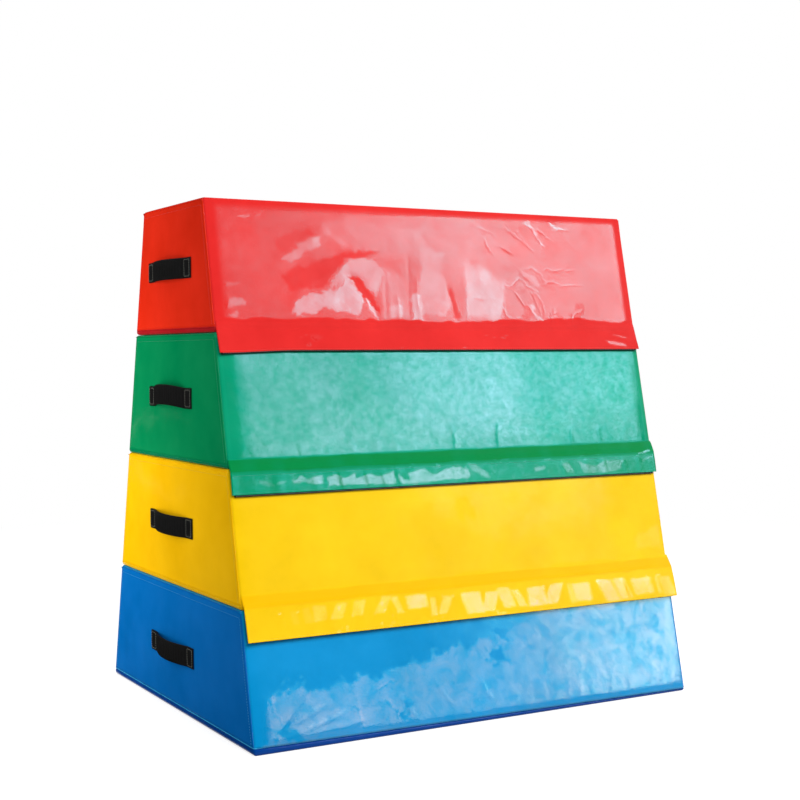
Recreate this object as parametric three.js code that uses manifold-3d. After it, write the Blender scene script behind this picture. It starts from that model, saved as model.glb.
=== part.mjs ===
// Soft vaulting box: four foam sections in coated-fabric covers, stacked into a trapezoid.
// The long walls lean in towards the top and the two ends stand upright. Each of the three upper
// sections has a flap along its front that hangs over the section below and grips it with
// hook-and-loop strips. Every section has a webbing handle on each end and a zip low on its rear wall.
// Millimetres, +Z up, front towards -Y, origin in the middle of the base on the floor.

import * as THREE from "three";
import Module from "manifold-3d";
import { mergeVertices } from "three/addons/utils/BufferGeometryUtils.js";

const wasm = await Module();
wasm.setup();

// Stack
const sectionHeight = 250;
const boxLength = 980; // along X, over the end seams
const baseWidth = 770; // along Y, at the floor
const topWidth = 325; // along Y, at the top
const stackGap = 0.4; // between one section's lid and the next one's base
const fitGap = 0.3; // between a piece and what it is sewn to or slides on
const overrun = 5; // how far a cutting or joining solid runs past what it meets

// Covers
const coverThickness = 1;
const edgeRadius = 6; // rounded edges of lid and base
const wallCrown = 3; // how far a long wall swells between lid and base
const endCrown = 8; // how far an end swells in its middle
const baseRim = 15; // height that the base panel turns up to its seam

// Flaps, with how far each hangs below the joint between its section and the next
const redFlapDrop = 40;
const greenFlapDrop = 48;
const yellowFlapDrop = 57;
const flapThickness = 1.2;
const flapHemRadius = 1.6; // rolled edge in the seam, which the flap turns about
const flapEase = 14; // height over which the flap leaves its seam and clears the strips
const flapOverhang = 1; // past each end of the box
const redRipple = 0.5; // how far the free edge ripples away from the wall
const greenRipple = 1;
const yellowRipple = 2;
const redRipplePitch = 240;
const greenRipplePitch = 120;
const yellowRipplePitch = 70;

// Hook-and-loop strips
const hookThickness = 2.2;
const hookWidth = 40;
const hookReveal = 3; // how far the hook strip shows below its flap
const loopThickness = 2;
const loopWidth = 30;
const stripInset = 8; // from each end of the box

// Handles
const webbingWidth = 40;
const webbingThickness = 2.4;
const handleLength = 230;
const sewnLength = 30; // flat end that is stitched down
const handleBow = 14; // how far the grip stands off the cover
const greenGripRise = 6; // how far the middle of the green grips is pushed up

// Zips
const zipInset = 50; // from each end of the box
const zipHeight = 70; // of the teeth above the section's base
const tapeWidth = 26;
const tapeThickness = 0.8;
const teethWidth = 5;
const teethHeight = 1.8;
const sliderLength = 14;
const sliderWidth = 11;
const sliderRoof = 1.1;
const sliderStop = 4; // from the slider to the end of the tape
const bridgeLength = 4.6;
const bridgeWidth = 3;
const bridgeHeight = 3.4;
const bridgeEye = 2.4;
const pullBarRadius = 0.8;
const pullArmWidth = 1.6;
const pullLength = 28;
const pullWidth = 8;
const pullThickness = 1.4;

// Facets
const wallSteps = 6;
const cornerSteps = 3;
const endSteps = 8;
const gripSteps = 12;
const flapSteps = 5;
const rippleSteps = 4;
const stripSteps = 3;
const barSides = 12;

const vinyl = { roughness: 0.35, metalness: 0 };
const sections = [
  { name: "blue", colour: 0x0d7fd0, baseColour: 0x0a3f86, gripRise: 0 },
  {
    name: "yellow",
    colour: 0xfacb05,
    baseColour: 0xc89006,
    gripRise: 0,
    flap: { drop: yellowFlapDrop, ripple: yellowRipple, pitch: yellowRipplePitch },
  },
  {
    name: "green",
    colour: 0x06925f,
    baseColour: 0x04603c,
    gripRise: greenGripRise,
    flap: { drop: greenFlapDrop, ripple: greenRipple, pitch: greenRipplePitch },
  },
  {
    name: "red",
    colour: 0xe3322f,
    baseColour: 0x96202c,
    gripRise: 0,
    flap: { drop: redFlapDrop, ripple: redRipple, pitch: redRipplePitch },
  },
];
const foam = new THREE.MeshStandardMaterial({ color: 0xe9e3c8, roughness: 0.95, metalness: 0 });
const webbing = new THREE.MeshStandardMaterial({ color: 0x0c0c0d, roughness: 0.85, metalness: 0 });
const hookAndLoop = new THREE.MeshStandardMaterial({ color: 0x101011, roughness: 0.95, metalness: 0 });
const zipTape = new THREE.MeshStandardMaterial({ color: 0x151517, roughness: 0.8, metalness: 0 });
const zipMetal = new THREE.MeshStandardMaterial({ color: 0x8d9096, roughness: 0.35, metalness: 0.9 });

const lidHeight = sectionHeight - stackGap;
const hemHeight = baseRim + fitGap;
const wallSlope = (baseWidth - topWidth) / 2 / (sectionHeight * sections.length);
const wallTilt = Math.atan(wallSlope);
const slant = Math.hypot(1, wallSlope);
const hingeStand = fitGap + flapHemRadius;
const flapStand = fitGap + loopThickness + fitGap + hookThickness + fitGap + flapThickness / 2;

// Outline of a section, in heights above its own base

// How far the long wall swells out at a height, and how fast that changes with height
function wallSwell(z) {
  const s = (2 * z) / lidHeight - 1;
  return wallCrown * Math.max(0, 1 - s * s) ** 2;
}
function wallSwellRate(z) {
  const s = (2 * z) / lidHeight - 1;
  return (-8 * wallCrown * s * Math.max(0, 1 - s * s)) / lidHeight;
}

// Distance from the middle plane to the long wall, moved in by an inset
function wallY(level, z, inset) {
  const straight = baseWidth / 2 - wallSlope * (level * sectionHeight + z);
  return straight + wallSwell(z) - inset * slant;
}

// The same on whichever section is at that height, so a flap can hang past the joint below
function stackY(level, z) {
  return z < 0 ? wallY(level - 1, z + sectionHeight, 0) : wallY(level, z, 0);
}

// Rounded edge between the long wall and the lid, or between the base and the long wall
function cornerArc(level, inset, atLid) {
  const radius = edgeRadius - inset;
  const centreZ = atLid ? lidHeight - inset - radius : inset + radius;
  const tangentZ = centreZ + radius * Math.sin(wallTilt);
  const centreY = wallY(level, tangentZ, inset) - radius * Math.cos(wallTilt);
  const from = atLid ? wallTilt : -Math.PI / 2;
  const to = atLid ? Math.PI / 2 : wallTilt;
  const points = [];
  for (let i = 0; i <= cornerSteps; i++) {
    const angle = from + ((to - from) * i) / cornerSteps;
    const y = centreY + radius * Math.cos(angle);
    points.push(new THREE.Vector2(y, centreZ + radius * Math.sin(angle)));
  }
  return points;
}

// Rear half of the outline from a height on the wall, up to where the flat lid starts
function wallAndLid(level, inset, fromZ) {
  const lid = cornerArc(level, inset, true);
  const points = [];
  for (let i = 0; i < wallSteps; i++) {
    const z = fromZ + ((lid[0].y - fromZ) * i) / wallSteps;
    points.push(new THREE.Vector2(wallY(level, z, inset), z));
  }
  return points.concat(lid);
}

function mirrored(points) {
  return points.map((p) => new THREE.Vector2(-p.x, p.y)).reverse();
}

// Closed outline of the whole section
function outline(level, inset) {
  const base = cornerArc(level, inset, false);
  const rear = base.concat(wallAndLid(level, inset, base[cornerSteps].y + fitGap));
  return rear.concat(mirrored(rear));
}

// Solids from outlines

// A closed outline in Y and Z, drawn out along X about the middle plane
function alongX(points, length) {
  const geometry = new THREE.ExtrudeGeometry(new THREE.Shape(points), { depth: length, bevelEnabled: false });
  geometry.translate(0, 0, -length / 2);
  const axes = [new THREE.Vector3(0, 1, 0), new THREE.Vector3(0, 0, 1), new THREE.Vector3(1, 0, 0)];
  return geometry.applyMatrix4(new THREE.Matrix4().makeBasis(...axes));
}

// A closed outline in X and Z, drawn out along Y about the middle plane
function alongY(points, length) {
  const geometry = new THREE.ExtrudeGeometry(new THREE.Shape(points), { depth: length, bevelEnabled: false });
  geometry.translate(0, 0, -length / 2);
  const axes = [new THREE.Vector3(1, 0, 0), new THREE.Vector3(0, 0, 1), new THREE.Vector3(0, -1, 0)];
  return geometry.applyMatrix4(new THREE.Matrix4().makeBasis(...axes));
}

function box(x, y, z, centreX, centreY, centreZ) {
  return new THREE.BoxGeometry(x, y, z).translate(centreX, centreY, centreZ);
}

function toSolid(geometry) {
  const bare = geometry.clone();
  bare.deleteAttribute("normal");
  bare.deleteAttribute("uv");
  const merged = mergeVertices(bare);
  const vertProperties = merged.attributes.position.array;
  const triVerts = new Uint32Array(merged.index.array);
  return new wasm.Manifold(new wasm.Mesh({ numProp: 3, vertProperties, triVerts }));
}

function toGeometry(solid) {
  const mesh = solid.getMesh();
  const geometry = new THREE.BufferGeometry();
  geometry.setAttribute("position", new THREE.BufferAttribute(new Float32Array(mesh.vertProperties), 3));
  geometry.setIndex(new THREE.BufferAttribute(new Uint32Array(mesh.triVerts), 1));
  geometry.computeVertexNormals();
  return geometry;
}

// A sheet between two grids of points: near(row, column) and far(row, column) give its two faces
function sheet(rows, columns, near, far) {
  const positions = [];
  for (const face of [near, far]) {
    for (let i = 0; i <= rows; i++) {
      for (let j = 0; j <= columns; j++) positions.push(...face(i, j));
    }
  }
  const at = (layer, i, j) => (layer * (rows + 1) + i) * (columns + 1) + j;
  const index = [];
  const quad = (a, b, c, d) => index.push(a, b, c, a, c, d);
  for (let i = 0; i < rows; i++) {
    for (let j = 0; j < columns; j++) {
      quad(at(0, i, j), at(0, i + 1, j), at(0, i + 1, j + 1), at(0, i, j + 1));
      quad(at(1, i, j), at(1, i, j + 1), at(1, i + 1, j + 1), at(1, i + 1, j));
    }
  }
  for (let j = 0; j < columns; j++) {
    quad(at(0, 0, j), at(0, 0, j + 1), at(1, 0, j + 1), at(1, 0, j));
    quad(at(0, rows, j + 1), at(0, rows, j), at(1, rows, j), at(1, rows, j + 1));
  }
  for (let i = 0; i < rows; i++) {
    quad(at(0, i + 1, 0), at(0, i, 0), at(1, i, 0), at(1, i + 1, 0));
    quad(at(0, i, columns), at(0, i + 1, columns), at(1, i + 1, columns), at(1, i, columns));
  }
  const geometry = new THREE.BufferGeometry();
  geometry.setAttribute("position", new THREE.Float32BufferAttribute(positions, 3));
  geometry.setIndex(index);
  return facingOut(geometry);
}

// Turns a closed geometry's faces round if they point inwards
function facingOut(geometry) {
  const index = geometry.index.array;
  const corner = [new THREE.Vector3(), new THREE.Vector3(), new THREE.Vector3()];
  let volume = 0;
  for (let i = 0; i < index.length; i += 3) {
    corner.forEach((v, k) => v.fromBufferAttribute(geometry.attributes.position, index[i + k]));
    volume += corner[0].dot(corner[1].clone().cross(corner[2]));
  }
  if (volume < 0) {
    for (let i = 0; i < index.length; i += 3) [index[i + 1], index[i + 2]] = [index[i + 2], index[i + 1]];
  }
  geometry.computeVertexNormals();
  return geometry;
}

// Cover and core

// A section's whole body with rounded lower edges all round, moved in by an inset
function sectionBlock(level, inset) {
  const halfLength = boxLength / 2 - inset;
  const radius = edgeRadius - inset;
  const ends = [];
  for (let i = 0; i <= cornerSteps; i++) {
    const angle = (-Math.PI / 2) * (1 - i / cornerSteps);
    const x = halfLength - radius + radius * Math.cos(angle);
    ends.push(new THREE.Vector2(x, inset + radius + radius * Math.sin(angle)));
  }
  ends.push(new THREE.Vector2(halfLength, lidHeight - inset));
  const across = toSolid(alongX(outline(level, inset), boxLength + overrun));
  return across.intersect(toSolid(alongY(ends.concat(mirrored(ends)), baseWidth + overrun)));
}

// Upturned tray that closes the underside
function basePanel(level) {
  const shell = sectionBlock(level, 0).subtract(sectionBlock(level, coverThickness));
  const above = box(boxLength * 2, baseWidth * 2, sectionHeight, 0, 0, baseRim + sectionHeight / 2);
  return toGeometry(shell.subtract(toSolid(above)));
}

// One sheet that runs up the front wall, over the lid and down the rear wall
function wrapCover(level) {
  const outer = wallAndLid(level, 0, hemHeight);
  const inner = wallAndLid(level, coverThickness, hemHeight);
  const outerWay = outer.concat(mirrored(outer));
  const innerWay = inner.concat(mirrored(inner)).reverse();
  return alongX(outerWay.concat(innerWay), boxLength - 2 * (coverThickness + fitGap));
}

// How far an end swells at a point of it
function endSwell(level, y, z) {
  const middle = (hemHeight + lidHeight) / 2;
  const up = (z - middle) / (lidHeight - middle);
  const across = y / wallY(level, z, 0);
  return endCrown * Math.max(0, 1 - across * across) * Math.max(0, 1 - up * up);
}

// A sheet over one end between the hem and the lid, from one distance to another along X
function endSheet(level, side, inset, nearX, farX) {
  const rim = wallAndLid(level, inset, hemHeight);
  const place = (distance, swells) => (i, j) => {
    const y = rim[i].x * ((2 * j) / endSteps - 1);
    const x = distance + (swells ? endSwell(level, y, rim[i].y) : 0);
    return [side * x, y, rim[i].y];
  };
  return (nearSwells) => sheet(rim.length - 1, endSteps, place(nearX, nearSwells), place(farX, true));
}

function endPanel(level, side) {
  return endSheet(level, side, 0, boxLength / 2 - coverThickness, boxLength / 2)(true);
}

// Foam block that fills the cover, with swelling ends
function foamCore(level) {
  const inset = coverThickness + fitGap;
  const face = boxLength / 2 - inset;
  let core = sectionBlock(level, inset);
  for (const side of [-1, 1]) core = core.add(toSolid(endSheet(level, side, inset, face - overrun, face)(false)));
  return toGeometry(core);
}

// Flaps and strips on the front long wall

function smooth(t) {
  const s = Math.min(1, Math.max(0, t));
  return s * s * (3 - 2 * s);
}

// A point that stands off the wall of the stack, square to it
function offWall(level, z, stand) {
  return new THREE.Vector2(stackY(level, z) + stand * Math.cos(wallTilt), z + stand * Math.sin(wallTilt));
}

// Outline of a band that follows the wall between two heights and two stand-offs
function band(level, low, high, near, far, steps) {
  const run = (stand) => {
    const points = [];
    for (let i = 0; i <= steps; i++) points.push(offWall(level, low + ((high - low) * i) / steps, stand));
    return points;
  };
  return run(near).concat(run(far).reverse());
}

function toFront(points) {
  return points.map((p) => new THREE.Vector2(-p.x, p.y));
}

// Flap: a rolled upper edge in the seam, and a sheet that leaves it, clears the strips and ripples
function flap(level) {
  const { drop, ripple, pitch } = sections[level].flap;
  const length = boxLength + 2 * flapOverhang;
  const columns = rippleSteps * Math.round(length / pitch);
  const centre = offWall(level, baseRim, hingeStand);
  const roll = new THREE.CylinderGeometry(flapHemRadius, flapHemRadius, length, barSides).rotateZ(Math.PI / 2);
  const place = (shift) => (i, j) => {
    const x = length * (j / columns - 1 / 2);
    const down = ((baseRim + drop) * i) / flapSteps;
    const wave = (1 - Math.cos((2 * Math.PI * x) / pitch)) / 2;
    const clear = (flapStand - hingeStand) * smooth(down / flapEase);
    const stand = hingeStand + clear + ripple * smooth(i / flapSteps) * wave + shift;
    const spot = offWall(level, baseRim - down, stand);
    return [x, -spot.x, spot.y];
  };
  const leaf = sheet(flapSteps, columns, place(-flapThickness / 2), place(flapThickness / 2));
  return toGeometry(toSolid(roll.translate(0, -centre.x, centre.y)).add(toSolid(leaf)));
}

function hookStrip(level) {
  const low = -sections[level].flap.drop - hookReveal;
  const far = flapStand - flapThickness / 2 - fitGap;
  const around = band(level, low, low + hookWidth, far - hookThickness, far, stripSteps);
  return alongX(toFront(around), boxLength - 2 * stripInset);
}

// Loop strip near the top of a section, under the flap of the section above
function loopStrip(level) {
  const low = sectionHeight - sections[level + 1].flap.drop - hookReveal;
  const around = band(level, low, low + loopWidth, fitGap, fitGap + loopThickness, stripSteps);
  return alongX(toFront(around), boxLength - 2 * stripInset);
}

// Handle: a webbing strap sewn flat at both ends, with a bowed grip that a hand goes behind
function handle(level, side) {
  const gripHalf = handleLength / 2 - sewnLength;
  const stations = [-handleLength / 2];
  for (let j = 0; j <= gripSteps; j++) stations.push(gripHalf * ((2 * j) / gripSteps - 1));
  stations.push(handleLength / 2);
  const place = (thickness) => (i, j) => {
    const y = stations[j];
    const arch = Math.max(0, 1 - (y / gripHalf) ** 2);
    const z = lidHeight / 2 + webbingWidth * (i / 2 - 1 / 2) + sections[level].gripRise * arch;
    const stand = fitGap + handleBow * arch + thickness;
    return [side * (boxLength / 2 + endSwell(level, y, z) + stand), y, z];
  };
  return sheet(2, stations.length - 1, place(0), place(webbingThickness));
}

// Zip, in a frame on the rear wall: +Y out of the wall and +Z up it

const zipLength = boxLength - 2 * zipInset;
const sliderFloor = fitGap + tapeThickness + fitGap; // stand-off of the slider's underside
const sliderTop = sliderFloor + teethHeight + sliderRoof;
const pullAxis = sliderTop + bridgeHeight / 2;

function zipTeethAndTape() {
  const rectangle = (width, from, to) => box(zipLength, to - from, width, 0, (from + to) / 2, 0);
  const tape = toSolid(rectangle(tapeWidth, fitGap, fitGap + tapeThickness));
  return toGeometry(tape.add(toSolid(rectangle(teethWidth, fitGap, fitGap + tapeThickness + teethHeight))));
}

function zipSlider() {
  const height = sliderTop - sliderFloor;
  const body = toSolid(box(sliderLength, height, sliderWidth, 0, sliderFloor + height / 2, 0));
  const channelTop = sliderFloor + teethHeight;
  const channelHeight = channelTop - sliderFloor + overrun;
  const channelWidth = teethWidth + 2 * fitGap;
  const channel = box(sliderLength * 2, channelHeight, channelWidth, 0, channelTop - channelHeight / 2, 0);
  const bridge = box(bridgeLength, bridgeHeight + fitGap, bridgeWidth, 0, pullAxis - fitGap / 2, 0);
  const eye = box(bridgeEye, bridgeEye, bridgeWidth * 2, 0, pullAxis, 0);
  return toGeometry(body.add(toSolid(bridge)).subtract(toSolid(channel)).subtract(toSolid(eye)));
}

// Pull tab: a bar through the bridge's eye, two arms and a flat tab, lying towards -X
function zipPull() {
  const armZ = bridgeWidth / 2 + fitGap + pullArmWidth / 2;
  const neck = bridgeLength / 2 + bridgeHeight / 2; // clear of the bridge all the way round
  const bar = new THREE.CylinderGeometry(pullBarRadius, pullBarRadius, 2 * armZ, barSides);
  let pull = toSolid(bar.rotateX(Math.PI / 2));
  for (const z of [-armZ, armZ]) {
    const reach = neck + pullBarRadius + fitGap;
    const arm = box(reach, 2 * pullBarRadius, pullArmWidth, pullBarRadius - reach / 2, 0, z);
    pull = pull.add(toSolid(arm));
  }
  const tab = box(pullLength - neck, pullThickness, pullWidth, -(neck + pullLength) / 2, 0, 0);
  return toGeometry(pull.add(toSolid(tab)).translate(0, pullAxis, 0));
}

function zipParts(level, name) {
  const frame = new THREE.Group();
  frame.position.set(0, wallY(level, zipHeight, 0), zipHeight);
  frame.rotation.x = Math.atan(wallSlope - wallSwellRate(zipHeight));
  const runner = new THREE.Group();
  runner.position.x = zipLength / 2 - sliderStop - sliderLength / 2;
  frame.add(part(name + "_zip_tape", zipTeethAndTape(), zipTape), runner);
  runner.add(part(name + "_zip_slider", zipSlider(), zipMetal));
  runner.add(part(name + "_zip_pull", zipPull(), zipMetal));
  return frame;
}

// Assembly

function part(name, geometry, material) {
  const mesh = new THREE.Mesh(geometry, material);
  mesh.name = name;
  return mesh;
}

function buildSection(level) {
  const { name, colour, baseColour, flap: leaf } = sections[level];
  const cover = new THREE.MeshStandardMaterial({ color: colour, ...vinyl });
  const base = new THREE.MeshStandardMaterial({ color: baseColour, ...vinyl });
  const group = new THREE.Group();
  group.position.z = level * sectionHeight;
  group.add(part(name + "_foam_core", foamCore(level), foam));
  group.add(part(name + "_wrap_cover", wrapCover(level), cover));
  group.add(part(name + "_base_panel", basePanel(level), base));
  for (const [end, side] of [["left", -1], ["right", 1]]) {
    group.add(part(name + "_" + end + "_end_panel", endPanel(level, side), cover));
    group.add(part(name + "_" + end + "_handle", handle(level, side), webbing));
  }
  if (sections[level + 1]) group.add(part(name + "_front_loop_strip", loopStrip(level), hookAndLoop));
  if (leaf) {
    group.add(part(name + "_front_flap", flap(level), cover));
    group.add(part(name + "_front_hook_strip", hookStrip(level), hookAndLoop));
  }
  group.add(zipParts(level, name));
  return group;
}

const vaultingBox = new THREE.Group();
sections.forEach((_, level) => vaultingBox.add(buildSection(level)));

export default vaultingBox;
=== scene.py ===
import math
import bpy
import numpy as np
from mathutils import Matrix, Vector


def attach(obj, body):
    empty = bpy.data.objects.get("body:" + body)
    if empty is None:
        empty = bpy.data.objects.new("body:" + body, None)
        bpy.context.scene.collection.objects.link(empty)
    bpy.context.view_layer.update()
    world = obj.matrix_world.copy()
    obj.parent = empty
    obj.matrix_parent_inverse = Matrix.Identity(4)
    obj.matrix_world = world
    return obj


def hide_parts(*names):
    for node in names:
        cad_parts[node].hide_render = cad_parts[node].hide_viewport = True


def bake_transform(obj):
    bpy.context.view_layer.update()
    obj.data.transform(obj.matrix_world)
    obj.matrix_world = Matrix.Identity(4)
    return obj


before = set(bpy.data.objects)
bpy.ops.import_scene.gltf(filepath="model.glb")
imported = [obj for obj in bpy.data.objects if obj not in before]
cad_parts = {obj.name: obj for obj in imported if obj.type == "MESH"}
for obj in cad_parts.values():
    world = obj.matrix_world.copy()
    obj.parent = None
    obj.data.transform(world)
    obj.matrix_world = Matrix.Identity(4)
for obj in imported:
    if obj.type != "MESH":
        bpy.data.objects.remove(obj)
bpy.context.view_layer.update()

# Soft vaulting box: four foam sections in glossy coated-fabric covers, stacked into a trapezoid.
# Metres, front towards -Y, one unit of the frame for every piece.

# Camera, fitted to the corners of the photograph
camera = {
    "place": (-1.4899, -2.6829, 0.7075),
    "heading": 0.5140,  # to the right of +Y
    "pitch": -0.0320,
    "roll": -0.0049,
    "lens": 64.3,
}


def makeCamera():
    heading, pitch, roll = camera["heading"], camera["pitch"], camera["roll"]
    ahead = Vector((math.sin(heading) * math.cos(pitch), math.cos(heading) * math.cos(pitch), math.sin(pitch)))
    level = Vector((math.cos(heading), -math.sin(heading), 0))
    rise = level.cross(ahead)
    right = level * math.cos(roll) + rise * math.sin(roll)
    up = rise * math.cos(roll) - level * math.sin(roll)
    lens = bpy.data.cameras.new("studioCamera")
    lens.lens = camera["lens"]
    lens.sensor_width = 36
    holder = bpy.data.objects.new("studioCamera", lens)
    turn = Matrix((right, up, -ahead)).transposed().to_4x4()
    holder.matrix_world = Matrix.Translation(camera["place"]) @ turn
    bpy.context.collection.objects.link(holder)
    bpy.context.scene.camera = holder


makeCamera()
print("camera ready")

# The stack: what the pieces share
stack = {
    "colours": ["blue", "yellow", "green", "red"],  # from the floor up
    "height": 0.250,
    "halfLength": 0.490,
    "halfWidth": 0.385,  # at the floor
    "slope": 0.2225,  # how much narrower a long wall gets for its height
    "gap": 0.0004,  # between a lid and the next section
    # how much of the base panel's turned-up edge shows
    "rims": {"blue": 0.0135, "yellow": 0.0070, "green": 0.0060, "red": 0.0095},
    "ends": {-1: "left", 1: "right"},
    "seed": 11,
    "rimDrop": 0.0085,  # how much lower the blue rim is at the front's right end
    "rimReach": 0.035,  # how far up the covers follow it
    "seamGap": 0.0006,  # between a rim and the covers above it
}
tilt = math.atan(stack["slope"])
cosTilt, sinTilt = math.cos(tilt), math.sin(tilt)
lidHeight = stack["height"] - stack["gap"]


def halfWidthAt(z):
    return stack["halfWidth"] - stack["slope"] * z


def footOf(level):
    # where a section's covers begin, above its base
    return stack["rims"][stack["colours"][level]] + stack["seamGap"]


def offWall(x, z, stand, side):
    # a point at height z on a long wall, moved off it; side is -1 at the front and 1 at the rear
    y = side * (halfWidthAt(z) + stand * cosTilt)
    return np.stack(np.broadcast_arrays(x, y, z + stand * sinTilt), axis=-1)


def rimDrop(level, x, y):
    share = np.clip((x / stack["halfLength"] + 1) / 2, 0, 1) * np.clip((-y - 0.12) / 0.24, 0, 1)
    return (stack["rimDrop"] if level == 0 else 0.0) * share


def followRim(level, points):
    # a sheet's lowest rows go down with the rim they are sewn to
    x, y, up = points[..., 0], points[..., 1], points[..., 2] - level * stack["height"] - footOf(level)
    share = (1 - np.clip(up / stack["rimReach"], 0, 1)) ** 2
    drop = rimDrop(level, x, y) * share
    points[..., 2] -= drop
    points[..., 1] -= drop * stack["slope"] * (np.abs(y) > halfWidthAt(points[..., 2]) - 0.02)
    return points


# Soft random fields and folds

def softNoise(x, y, cell, seed):
    table = np.random.default_rng(seed).uniform(-1, 1, (96, 96))
    gx, gy = np.asarray(x) / cell + 500.0, np.asarray(y) / cell + 500.0
    ix, iy = np.floor(gx).astype(int), np.floor(gy).astype(int)
    fx, fy = gx - ix, gy - iy
    fx = fx * fx * fx * (fx * (fx * 6 - 15) + 10)
    fy = fy * fy * fy * (fy * (fy * 6 - 15) + 10)
    at = lambda i, j: table[i % 96, j % 96]
    low = at(ix, iy) * (1 - fx) + at(ix + 1, iy) * fx
    high = at(ix, iy + 1) * (1 - fx) + at(ix + 1, iy + 1) * fx
    return low * (1 - fy) + high * fy


def finer(x, h, cells, seed, shares=(1, 0.6)):
    # noise with finer noise on top of it
    return sum(share * softNoise(x, h, cell, seed + k) for k, (cell, share) in enumerate(zip(cells, shares)))


def smoothStep(t):
    t = np.clip(t, 0, 1)
    return t * t * (3 - 2 * t)


def foldField(x, h, folds):
    # each fold is a crest from one point to another
    total = np.zeros(np.broadcast(x, h).shape)
    for fold in folds:
        x0, h0, x1, h1, half, rise = (v / 1000 for v in fold)
        run, up = x1 - x0, h1 - h0
        length = math.hypot(run, up)
        along = ((x - x0) * run + (h - h0) * up) / length**2
        across = ((x - x0) * up - (h - h0) * run) / length
        across = across + 0.35 * half * softNoise(x, h, length / 2.5, int(1e4 * abs(x0 + h1)) + 7)
        ends = smoothStep((along + 0.15) / 0.4) * smoothStep((1.15 - along) / 0.4)
        crest = np.exp(-np.sqrt((across / half) ** 2 + 0.10) * 1.4) / math.exp(-0.443)
        total += rise * ends * crest
    return total


# Mesh building

def newObject(name, vertices, faces, smooth=True):
    mesh = bpy.data.meshes.new(name)
    mesh.from_pydata([tuple(v) for v in vertices], [], [tuple(f) for f in faces])
    mesh.validate()
    mesh.update()
    piece = bpy.data.objects.new(name, mesh)
    bpy.context.collection.objects.link(piece)
    if smooth:
        mesh.polygons.foreach_set("use_smooth", [True] * len(mesh.polygons))
    return piece


def faceOut(vertices, faces):
    # a closed body's faces, turned so that its volume is positive
    volume = 0.0
    points = np.asarray(vertices, float)
    for f in faces:
        a = points[f[0]]
        for i in range(1, len(f) - 1):
            volume += float(a @ np.cross(points[f[i]], points[f[i + 1]]))
    return faces if volume > 0 else [tuple(reversed(f)) for f in faces]


def gridNormals(grid):
    across = np.gradient(grid, axis=1)
    down = np.gradient(grid, axis=0)
    normal = np.cross(across, down)
    return normal / np.maximum(np.linalg.norm(normal, axis=2, keepdims=True), 1e-12)


def stations(count, step):
    picks = list(range(0, count, step))
    if picks[-1] != count - 1:
        picks.append(count - 1)
    return picks


def shell(name, outer, depth, step, outward):
    # a closed sheet: its outer face is a grid of points, its inner face lies depth behind, on every step-th point
    rows, columns = outer.shape[:2]
    normal = gridNormals(outer)
    if normal[rows // 2, columns // 2] @ np.asarray(outward, float) < 0:
        normal = -normal
    pickRows, pickColumns = stations(rows, step), stations(columns, step)
    inner = (outer - normal * depth)[np.ix_(pickRows, pickColumns)]
    innerRows, innerColumns = inner.shape[:2]
    start = rows * columns
    out = lambda i, j: i * columns + j
    inn = lambda i, j: start + i * innerColumns + j
    i, j = np.meshgrid(np.arange(rows - 1), np.arange(columns - 1), indexing="ij")
    face = np.stack([out(i, j), out(i, j + 1), out(i + 1, j + 1), out(i + 1, j)], axis=-1).reshape(-1, 4)
    i, j = np.meshgrid(np.arange(innerRows - 1), np.arange(innerColumns - 1), indexing="ij")
    back = np.stack([inn(i, j), inn(i + 1, j), inn(i + 1, j + 1), inn(i, j + 1)], axis=-1).reshape(-1, 4)
    rims = []
    for b in range(innerColumns - 1):
        across = range(pickColumns[b], pickColumns[b + 1] + 1)
        rims.append([out(0, j) for j in reversed(across)] + [inn(0, b), inn(0, b + 1)])
        rims.append([out(rows - 1, j) for j in across] + [inn(innerRows - 1, b + 1), inn(innerRows - 1, b)])
    for a in range(innerRows - 1):
        down = range(pickRows[a], pickRows[a + 1] + 1)
        rims.append([out(i, 0) for i in down] + [inn(a + 1, 0), inn(a, 0)])
        rims.append([out(i, columns - 1) for i in reversed(down)] + [inn(k, innerColumns - 1) for k in (a, a + 1)])
    points = np.concatenate([outer.reshape(-1, 3), inner.reshape(-1, 3)])
    faces = face.tolist() + back.tolist() + rims
    side = outer[rows // 2 + 1, columns // 2] - outer[rows // 2, columns // 2]
    run = outer[rows // 2, columns // 2 + 1] - outer[rows // 2, columns // 2]
    if np.cross(run, side) @ normal[rows // 2, columns // 2] < 0:
        faces = [f[::-1] for f in faces]
    piece = newObject(name, points, faces)
    piece.data.polygons.foreach_set("use_smooth", [True] * (len(faces) - len(rims)) + [False] * len(rims))
    return piece


def ringBody(name, rings, closed=False):
    # a body skinned over rings of points: closed joins the last ring to the first, otherwise both ends are capped
    rows, count = rings.shape[:2]
    faces = []
    for r in range(rows if closed else rows - 1):
        low, high = r * count, (r + 1) % rows * count
        for k in range(count):
            n = (k + 1) % count
            faces.append((low + k, low + n, high + n, high + k))
    if not closed:
        faces += [tuple(reversed(range(count))), tuple(range((rows - 1) * count, rows * count))]
    points = rings.reshape(-1, 3)
    return newObject(name, points, faceOut(points, faces))


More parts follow.
